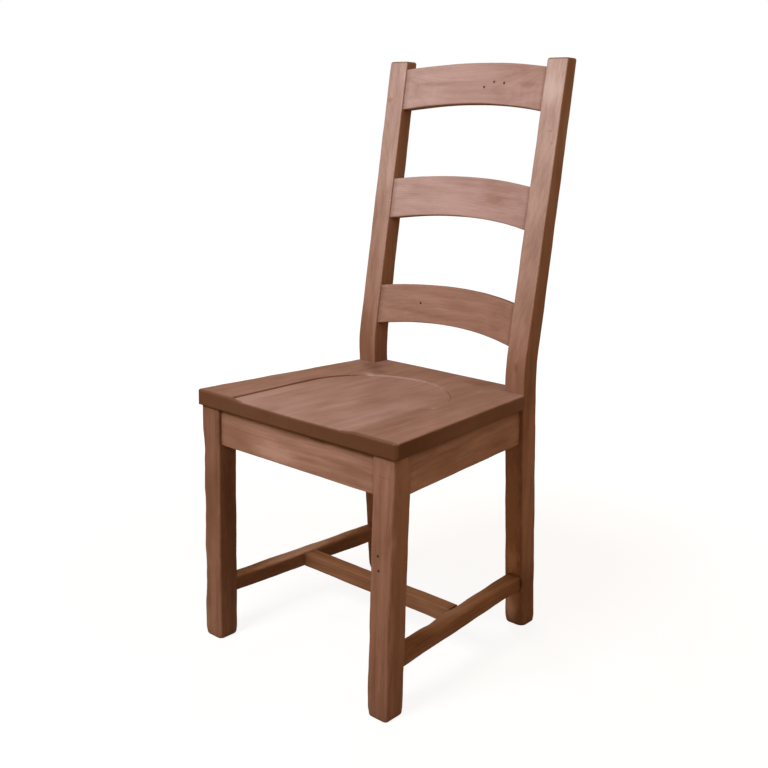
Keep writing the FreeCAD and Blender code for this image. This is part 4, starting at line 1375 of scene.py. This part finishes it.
@dataclass
class SeatBoard(Timber):
    """One of the seat's four boards, glued edge to edge, with the scoop cut across them."""

    slot: str = "seat"
    finish: PineFinish = SEAT_PINE
    wander: float = 0.4
    wander_shares: Four = (0.0, 0.0, 0.0, 1.0)
    end_rounds: Four = (0.0, 0.0, 3.0, 4.0)
    outer: bool = False
    glue_line: float = 115.0
    front_y: float = -6.0
    front_half: float = 230.5
    post_half: float = 199.5
    back_overhang: float = 2.0
    notch_fit: float = 0.3
    notch_step: float = 0.28
    notch_radius: float = 0.4
    edge_radii: Pair = (3.0, 4.0)
    ring_gap: float = 0.6
    close_rings: Triple = (274.0, 340.0, 0.7)
    edge_reach: float = 3.0
    edge_stains: Pair = (0.9, 0.3)
    edge_paling: float = 200.0
    front_stains: Pair = (0.04, 0.62)
    front_ramp: Pair = (-60.0, 290.0)
    # How much the top pales: partly polish, partly painted sheen, with a painted highlight on the rim
    paling_shares: Four = (0.37, 0.25, 0.38, 0.4)
    paling_ramp: Pair = (-2.6, 1.8)
    lean_reach: float = 40.0
    scoop: Scoop = field(default_factory=Scoop)

    def wall_y(self) -> float:
        """Give where the notch's front wall meets the seat's top."""
        return DRAWING.post_face_at(DRAWING.seat_top) - self.notch_fit

    def edge_x(self, y: Array) -> Array:
        """Give the seat's side edge."""
        travelled = (y - self.front_y) / (self.wall_y() - self.front_y)
        return self.front_half + (self.post_half - self.front_half) * travelled

    def reach(self) -> Pair:
        """Run from the front edge to the back."""
        return (self.front_y, float(DRAWING.post_back(DRAWING.seat_top)) + self.back_overhang)

    def section(self, place: Array) -> Array:
        """Run from the seat's middle to the glue line, or from there to the side edge or the notch.

        Args:
            place: places from front to back.

        Returns:
            The four limits at each place.
        """
        near, far = 0.0, self.glue_line
        if self.outer:
            past = smooth_step((place - self.wall_y()) / self.notch_step + 1.0)
            notch_x = DRAWING.post_inner - self.notch_fit
            near, far = far, self.edge_x(place) * (1.0 - past) + notch_x * past
        return rows(place, *self.mirrored(near, far), DRAWING.seat_bottom, DRAWING.seat_top)

    def rings(self) -> Array:
        """Add the two rings that make the notch's front wall, or closer rings at the scoop's back.

        Returns:
            The table of rings.
        """
        rings, wall = super().rings(), self.wall_y()
        if self.outer:
            added = np.array([wall - self.notch_step, wall])
            keep = np.abs(rings[:, 0] - wall) > self.ring_gap
        else:
            added, (first, last, _) = np.arange(*self.close_rings), self.close_rings
            keep = (rings[:, 0] < first - self.ring_gap) | (rings[:, 0] > last)
        rings = np.concatenate([rings[keep], rows(added, added, 0.0, 1.0, 0.0)])
        return rings[np.argsort(rings[:, 0], kind="stable")]

    def radii(self, place: Array) -> Array:
        """Round the outer side's edges, and leave hairline arrises along the glue lines.

        Args:
            place: places from front to back.

        Returns:
            The four radii at each place.
        """
        glued, before = SMALLEST_RADIUS, place < self.wall_y() - 0.5 * self.notch_step
        under, top = (np.where(before, radius, self.notch_radius) if self.outer else glued
                      for radius in self.edge_radii)
        return self.by_arris(place, glued, under, top, glued)

    def grime_and_shade(self, at: Grain) -> Array:
        """Paint shade into the scoop's wall, and darken the seat's edges with stain.

        The side edges pale towards the back, and the front edge darkens to the right.

        Args:
            at: the points.

        Returns:
            The stain and painted shade, from 0 to 1.
        """
        strength, paler = self.edge_stains
        edge = ramp(np.abs(at.across) - self.edge_x(at.along), -self.edge_reach, self.edge_reach)
        edge = edge * self.outer * (strength - paler * smooth_step(at.along / self.edge_paling))
        least, more = self.front_stains
        front = ramp(-at.along, -2.0, 4.0) * (least + more * ramp(at.across, *self.front_ramp))
        below = ramp(DRAWING.seat_top - at.through, 0.8, 2.4)
        in_wall = self.scoop.at(at.across, at.along)[1] * (at.through > DRAWING.seat_top - 4.0)
        return np.maximum(np.maximum(edge, front) * below, in_wall)

    def bleach_and_light(self, at: Grain) -> Array:
        """Pale the top, more in the hollow and most of all at its front: partly polish, partly painted
        sheen.

        The four shares are for the whole top, the hollow, the hollow's front and the rim's painted
        highlight.

        Args:
            at: the points.

        Returns:
            The share by which the colour pales.
        """
        # rubbed here is the rim's painted highlight
        depth, _, rubbed = self.scoop.at(at.across, at.along)
        hollow, front = smooth_step(depth / self.scoop.depth), ramp(-at.along, -260.0, 260.0)
        whole, hollowed, foremost, rim = self.paling_shares
        amount = whole + hollowed * hollow + foremost * hollow * front + rim * rubbed
        return amount * ramp(at.through - DRAWING.seat_top, *self.paling_ramp)

    def put(self, at: Grain) -> Array:
        """Lay the board along y, hollow it by the scoop and lean the notch's wall with the post.

        The hollow moves a point down by the scoop's depth times its share of the way up the board. The
        lean moves a point back by what the post's face moves below the seat's top, less and less away
        from the notch's wall.

        Args:
            at: the points.

        Returns:
            Their x, y and z.
        """
        share = (at.through - DRAWING.seat_bottom) / (DRAWING.seat_top - DRAWING.seat_bottom)
        near = np.clip(1.0 - np.abs(at.along - self.wall_y()) / self.lean_reach, 0.0, 1.0)
        lean = DRAWING.post_face(at.through) - DRAWING.post_face_at(DRAWING.seat_top)
        lean = lean * near * self.outer
        hollow = share * self.scoop.at(at.across, at.along)[0]
        return rows(lean, at.across, at.along + lean, at.through - hollow)


@dataclass
class CornerBlock(Timber):
    """A mitred brace in an inner corner of the seat frame: its ends lie against two aprons."""

    slot: str = "blocks"
    finish: PineFinish = BLOCK_PINE
    arrises: Four = (0.8, 0.8, 0.8, 0.8)
    wander_shares: Four = (0.6, 0.6, 0.6, 0.0)
    shoulder_stain: float = 0.0
    at_front: bool = True
    block_height: float = 38.0
    width: float = 30.0
    clearance: float = 2.0

    def plan(self) -> Array:
        """Give the right-hand block's plan corners.

        A line at 45 degrees from the cross apron's face meets the side apron's inner face where its
        x equals that face's x.

        Returns:
            Rows of x and y: outer and inner on the cross apron, then the same on the side apron.
        """
        if self.at_front:
            face_y, turn = FRONT_APRON_BACK, 1.0
            outer_x = DRAWING.leg_inner - (DRAWING.leg_back + self.clearance - face_y)
        else:
            face_y, turn = REAR_APRON_FACE, -1.0
            post_y = DRAWING.post_face_at(DRAWING.seat_bottom) - self.clearance
            outer_x = DRAWING.post_inner + (post_y - face_y)
        starts = np.array([outer_x, outer_x - self.width * math.sqrt(2.0)])
        meet_y = (SIDE_APRON.inner(0.0) - starts + turn * face_y) / (turn - SIDE_APRON.slope())
        meet_x = starts + turn * (meet_y - face_y)
        return np.concatenate([rows(starts, starts, face_y), rows(starts, meet_x, meet_y)])

    def reach(self) -> Pair:
        """Run from the cross apron to the side apron, as long as the inner face."""
        corners = self.plan()
        return (0.0, float(np.linalg.norm(corners[3] - corners[1])))

    def section(self, place: Array) -> Array:
        """Keep one section: across is from the inner face outwards, through is up."""
        return rows(place, 0.0, self.width, DRAWING.seat_bottom - self.block_height, DRAWING.seat_bottom)

    def by_face(self, near: float, far: float, low: float, high: float) -> Four:
        """Keep the faces' order, because the block is mirrored only when it is put in place."""
        return (near, far, low, high)

    def put(self, at: Grain) -> Array:
        """Blend the four plan corners by the shares of the length and of the width.

        Args:
            at: the points.

        Returns:
            Their x, y and z.
        """
        outer_near, inner_near, outer_far, inner_far = self.plan()
        run, out = (at.along / self.reach()[1])[:, None], (at.across / self.width)[:, None]
        near_end = inner_near + (outer_near - inner_near) * out
        far_end = inner_far + (outer_far - inner_far) * out
        x, y = (near_end + (far_end - near_end) * run).T
        return rows(x, self.side.value * x, y, at.through)


# ---- Sub-assemblies ----

@dataclass
class SubAssembly(ABC):
    """A group of the chair's timbers."""

    groups: SharedGroups

    @abstractmethod
    def timbers(self) -> list[Timber]:
        """List the timbers to build."""

    def build(self) -> None:
        """Build every timber in order."""
        for timber in self.timbers():
            timber.build(self.groups)


@dataclass
class LegFrame(SubAssembly):
    """The two front legs and the two rear posts."""

    def timbers(self) -> list[Timber]:
        """Give each leg its own worn arrises."""
        return [
            FrontLeg("right_front_leg", 11, wander=0.7, start_rounds=(2.0, 4.5, 1.0, 5.0), foot_wear=5.0,
                     inner_arris=((0.0, 60.0, 300.0, 442.0), (4.0, 4.5, 4.0, 3.0)),
                     outer_arris=((0.0, 61.0, 114.0, 182.0, 249.0, 315.0, 375.0, 442.0),
                                  (3.5, 4.0, 9.5, 11.0, 4.5, 11.0, 3.0, 3.0))),
            FrontLeg("left_front_leg", 12, side=Side.LEFT, wander=0.4,
                     inner_arris=((0.0, 442.0), (3.5, 3.0)),
                     outer_arris=((0.0, 50.0, 90.0, 360.0, 400.0, 442.0),
                                  (4.0, 5.0, 8.0, 7.5, 3.0, 2.5))),
            RearPost("right_rear_post", 21),
            RearPost("left_rear_post", 22, side=Side.LEFT)]


@dataclass
class Underframe(SubAssembly):
    """The four aprons and the H of three stretchers."""

    def timbers(self) -> list[Timber]:
        """Give each side stretcher its own dips."""
        return [
            CrossRail("front_apron", 31),
            CrossRail("rear_apron", 32, half_length=DRAWING.post_inner, front_y=REAR_APRON_FACE),
            SideRail("right_side_apron", 33),
            SideRail("left_side_apron", 34, side=Side.LEFT),
            SideStretcher("right_side_stretcher", 35, dips=(
                (45.0, 14.0, 6.0), (150.0, 22.0, 3.5), (205.0, 14.0, -1.6), (245.0, 25.0, 2.5))),
            SideStretcher("left_side_stretcher", 36, side=Side.LEFT,
                          dips=((120.0, 30.0, 2.0), (300.0, 25.0, 2.5))),
            CrossStretcher("cross_stretcher", 37)]


@dataclass
class Back(SubAssembly):
    """The three slats of the back."""

    def timbers(self) -> list[Timber]:
        """Stack the slats from the lowest up."""
        return [Slat("lower_slat", 41, lift=550.5, front_paling=0.0),
                Slat("middle_slat", 42, lift=755.25, front_paling=1.0),
                Slat("top_slat", 43, lift=960.0, front_paling=0.85)]


@dataclass
class Seat(SubAssembly):
    """The four boards of the seat."""

    def timbers(self) -> list[Timber]:
        """Give each board a fine enough grid for the scoop's wall.

        Returns:
            The boards, the left two first.
        """
        boards: list[Timber] = []
        for side, seed in ((Side.LEFT, 51), (Side.RIGHT, 53)):
            name = side.name.lower()
            boards += [
                SeatBoard("seat_board_" + name, seed, step=1.3, columns=(8, 6, 145, 6), side=side,
                          outer=True, pith_place=(-160.0, -45.0), start_rounds=(0.0, 9.0, 3.0, 4.0)),
                SeatBoard("seat_board_mid_" + name, seed + 1, step=1.4, columns=(4, 4, 106, 4),
                          side=side, pith_place=(190.0, 30.0), start_rounds=(0.0, 0.0, 3.0, 4.0))]
        return boards


@dataclass
class CornerBlocks(SubAssembly):
    """The four mitred blocks beneath the seat."""

    def timbers(self) -> list[Timber]:
        """Put a block in each inner corner."""
        corners = [(side, place) for place in ("front", "rear") for side in Side]
        return [CornerBlock(f"{side.name.lower()}_{place}_corner_block", seed, side=side,
                            at_front=place == "front")
                for seed, (side, place) in enumerate(corners, start=61)]


# ---- Screws ----

@dataclass(frozen=True)
class SteelFinish:
    """Plain zinc-grey steel, whose dull patches follow a noise."""

    colour: Triple = (0.42, 0.41, 0.39)
    dull: Triple = (0.27, 0.255, 0.235)
    roughness: float = 0.38

    def material(self) -> bpy.types.Material:
        """Make the material, with a roughness that follows the same noise.

        Returns:
            The material.
        """
        material = bpy.data.materials.new("screw_steel")
        graph = cleared(material)
        place = graph.node("TexCoord").outputs["Object"]
        patches = graph.noise(place, (420.0, 420.0, 420.0), 3.0)
        shader = graph.node(
            "BsdfPrincipled", Metallic=1.0,
            Base_Color=graph.mix(graph.rise(patches, 0.35, 0.7), self.colour, self.dull),
            Roughness=graph.math("MULTIPLY_ADD", patches, 0.3, self.roughness - 0.15))
        graph.node("OutputMaterial", shader.outputs["BSDF"])
        return material


@dataclass
class Screws:
    """The two sets of screws, kept as their solids with a steel finish."""

    nodes: tuple[str, ...] = ("corner_block_screws", "seat_screws")
    finish: SteelFinish = field(default_factory=SteelFinish)

    def dress(self) -> None:
        """Give both sets the same steel."""
        steel = self.finish.material()
        for name in self.nodes:
            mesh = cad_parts[name].data
            mesh.materials.clear()
            mesh.materials.append(steel)
            LOG.info("%s: dressed", name)


# ---- Studio ----

@dataclass(frozen=True)
class Lamp:
    """A round soft lamp: its place, diameter, power in watts, and whether reflections show it."""

    name: str
    place: Triple
    size: float
    power: float
    colour: Triple = WHITE
    in_gloss: bool = True

    def hang(self, target: Triple) -> None:
        """Hang the lamp so that it faces a place.

        Args:
            target: the place.
        """
        data = bpy.data.lights.new(self.name, "AREA")
        data.shape, data.size, data.energy, data.color = "DISK", self.size, self.power, self.colour
        lamp = bpy.data.objects.new(self.name, data)
        turn = (Vector(target) - Vector(self.place)).to_track_quat("-Z", "Y")
        lamp.matrix_world = Matrix.Translation(self.place) @ turn.to_matrix().to_4x4()
        lamp.visible_glossy = self.in_gloss
        bpy.context.scene.collection.objects.link(lamp)


@dataclass(frozen=True)
class Studio:
    """The camera, lamps, floor and backdrop."""

    camera_place: Triple = (1.15121, -1.36815, 0.91808)
    azimuth: float = 40.402
    elevation: float = 13.861
    roll: float = 1.62
    lens: float = 47.99
    lamp_target: Triple = (0.0, 0.0, 0.72)
    lamps: tuple[Lamp, ...] = (
        Lamp("key", (-0.1, -2.2, 2.15), 1.0, 50.0),
        Lamp("side_fill", (2.13, 0.0, 2.05), 1.8, 13.0, (1.0, 0.9, 0.76)),
        Lamp("rear", (-2.05, 1.5, 1.75), 0.9, 12.0, (1.0, 0.97, 0.92), in_gloss=False))
    ambient: Triple = (0.27, 0.143, 0.05)
    floor_bounce: Triple = (0.34, 0.25, 0.18)
    floor_grey: Triple = (0.2, 0.2, 0.2)
    floor_half: float = 9.0

    def set_camera(self) -> None:
        """Stand the camera where the photograph was taken from.

        Its backward axis comes from the azimuth and elevation, and the roll turns its level right-hand
        axis and its upward axis about it.
        """
        turn, lift, roll = (math.radians(angle) for angle in (self.azimuth, self.elevation, self.roll))
        back = Vector((math.sin(turn) * math.cos(lift), -math.cos(turn) * math.cos(lift),
                       math.sin(lift)))
        right = Vector((math.cos(turn), math.sin(turn), 0.0))
        upward = back.cross(right)
        axes = Matrix((math.cos(roll) * right + math.sin(roll) * upward,
                       -math.sin(roll) * right + math.cos(roll) * upward, back))
        data = bpy.data.cameras.new("camera")
        data.lens, data.sensor_width, data.sensor_fit = self.lens, 36.0, "HORIZONTAL"
        data.clip_end = 60.0
        camera = bpy.data.objects.new("camera", data)
        camera.matrix_world = Matrix.Translation(self.camera_place) @ axes.transposed().to_4x4()
        bpy.context.scene.collection.objects.link(camera)
        bpy.context.scene.camera = camera

    def light_world(self) -> None:
        """Fill the world with a dim warm light, and show it white to the camera and through glass."""
        world = bpy.data.worlds.new("studio")
        bpy.context.scene.world = world
        graph = cleared(world)
        path = graph.node("LightPath").outputs
        seen = graph.math("MAXIMUM", path["Is Camera Ray"], path["Is Transmission Ray"])
        fill, white = (graph.node("Background", colour).outputs[0] for colour in (self.ambient, WHITE))
        graph.node("OutputWorld", graph.node("MixShader", seen, fill, white).outputs[0])

    def lay_floor(self) -> None:
        """Lay a pale floor that shows white away from the chair and keeps the chair's soft shadow."""
        half = self.floor_half
        mesh = bpy.data.meshes.new("floor")
        mesh.from_pydata([(-half, -half, 0.0), (half, -half, 0.0), (half, half, 0.0),
                          (-half, half, 0.0)], [], [(0, 1, 2, 3)])
        floor = bpy.data.objects.new("floor", mesh)
        bpy.context.scene.collection.objects.link(floor)
        material = bpy.data.materials.new("pale_floor")
        graph = cleared(material)
        seen = graph.node("LightPath").outputs["Is Camera Ray"]
        away = graph.vector("LENGTH", graph.node("TexCoord").outputs["Object"])
        glow = graph.math("MULTIPLY_ADD", graph.rise(away, 0.5, 1.6), 0.12, 0.88)
        matt = graph.node("BsdfDiffuse", graph.mix(seen, self.floor_bounce, self.floor_grey))
        white = graph.node("Emission", WHITE, graph.math("MULTIPLY", glow, seen))
        both = graph.node("AddShader", matt.outputs[0], white.outputs[0])
        graph.node("OutputMaterial", both.outputs[0])
        mesh.materials.append(material)

    def build(self) -> None:
        """Set up the whole studio."""
        bpy.context.scene.view_settings.view_transform = "Standard"
        self.set_camera()
        for lamp in self.lamps:
            lamp.hang(self.lamp_target)
        self.light_world()
        self.lay_floor()
        LOG.info("studio: ready")


def main() -> None:
    """Build the studio and the chair."""
    logging.basicConfig(level=logging.INFO, format="%(name)s %(message)s")
    Studio().build()
    groups = SharedGroups()
    for part in (LegFrame, Underframe, Back, Seat, CornerBlocks):
        part(groups).build()
    Screws().dress()


if __name__ == "__main__":
    main()
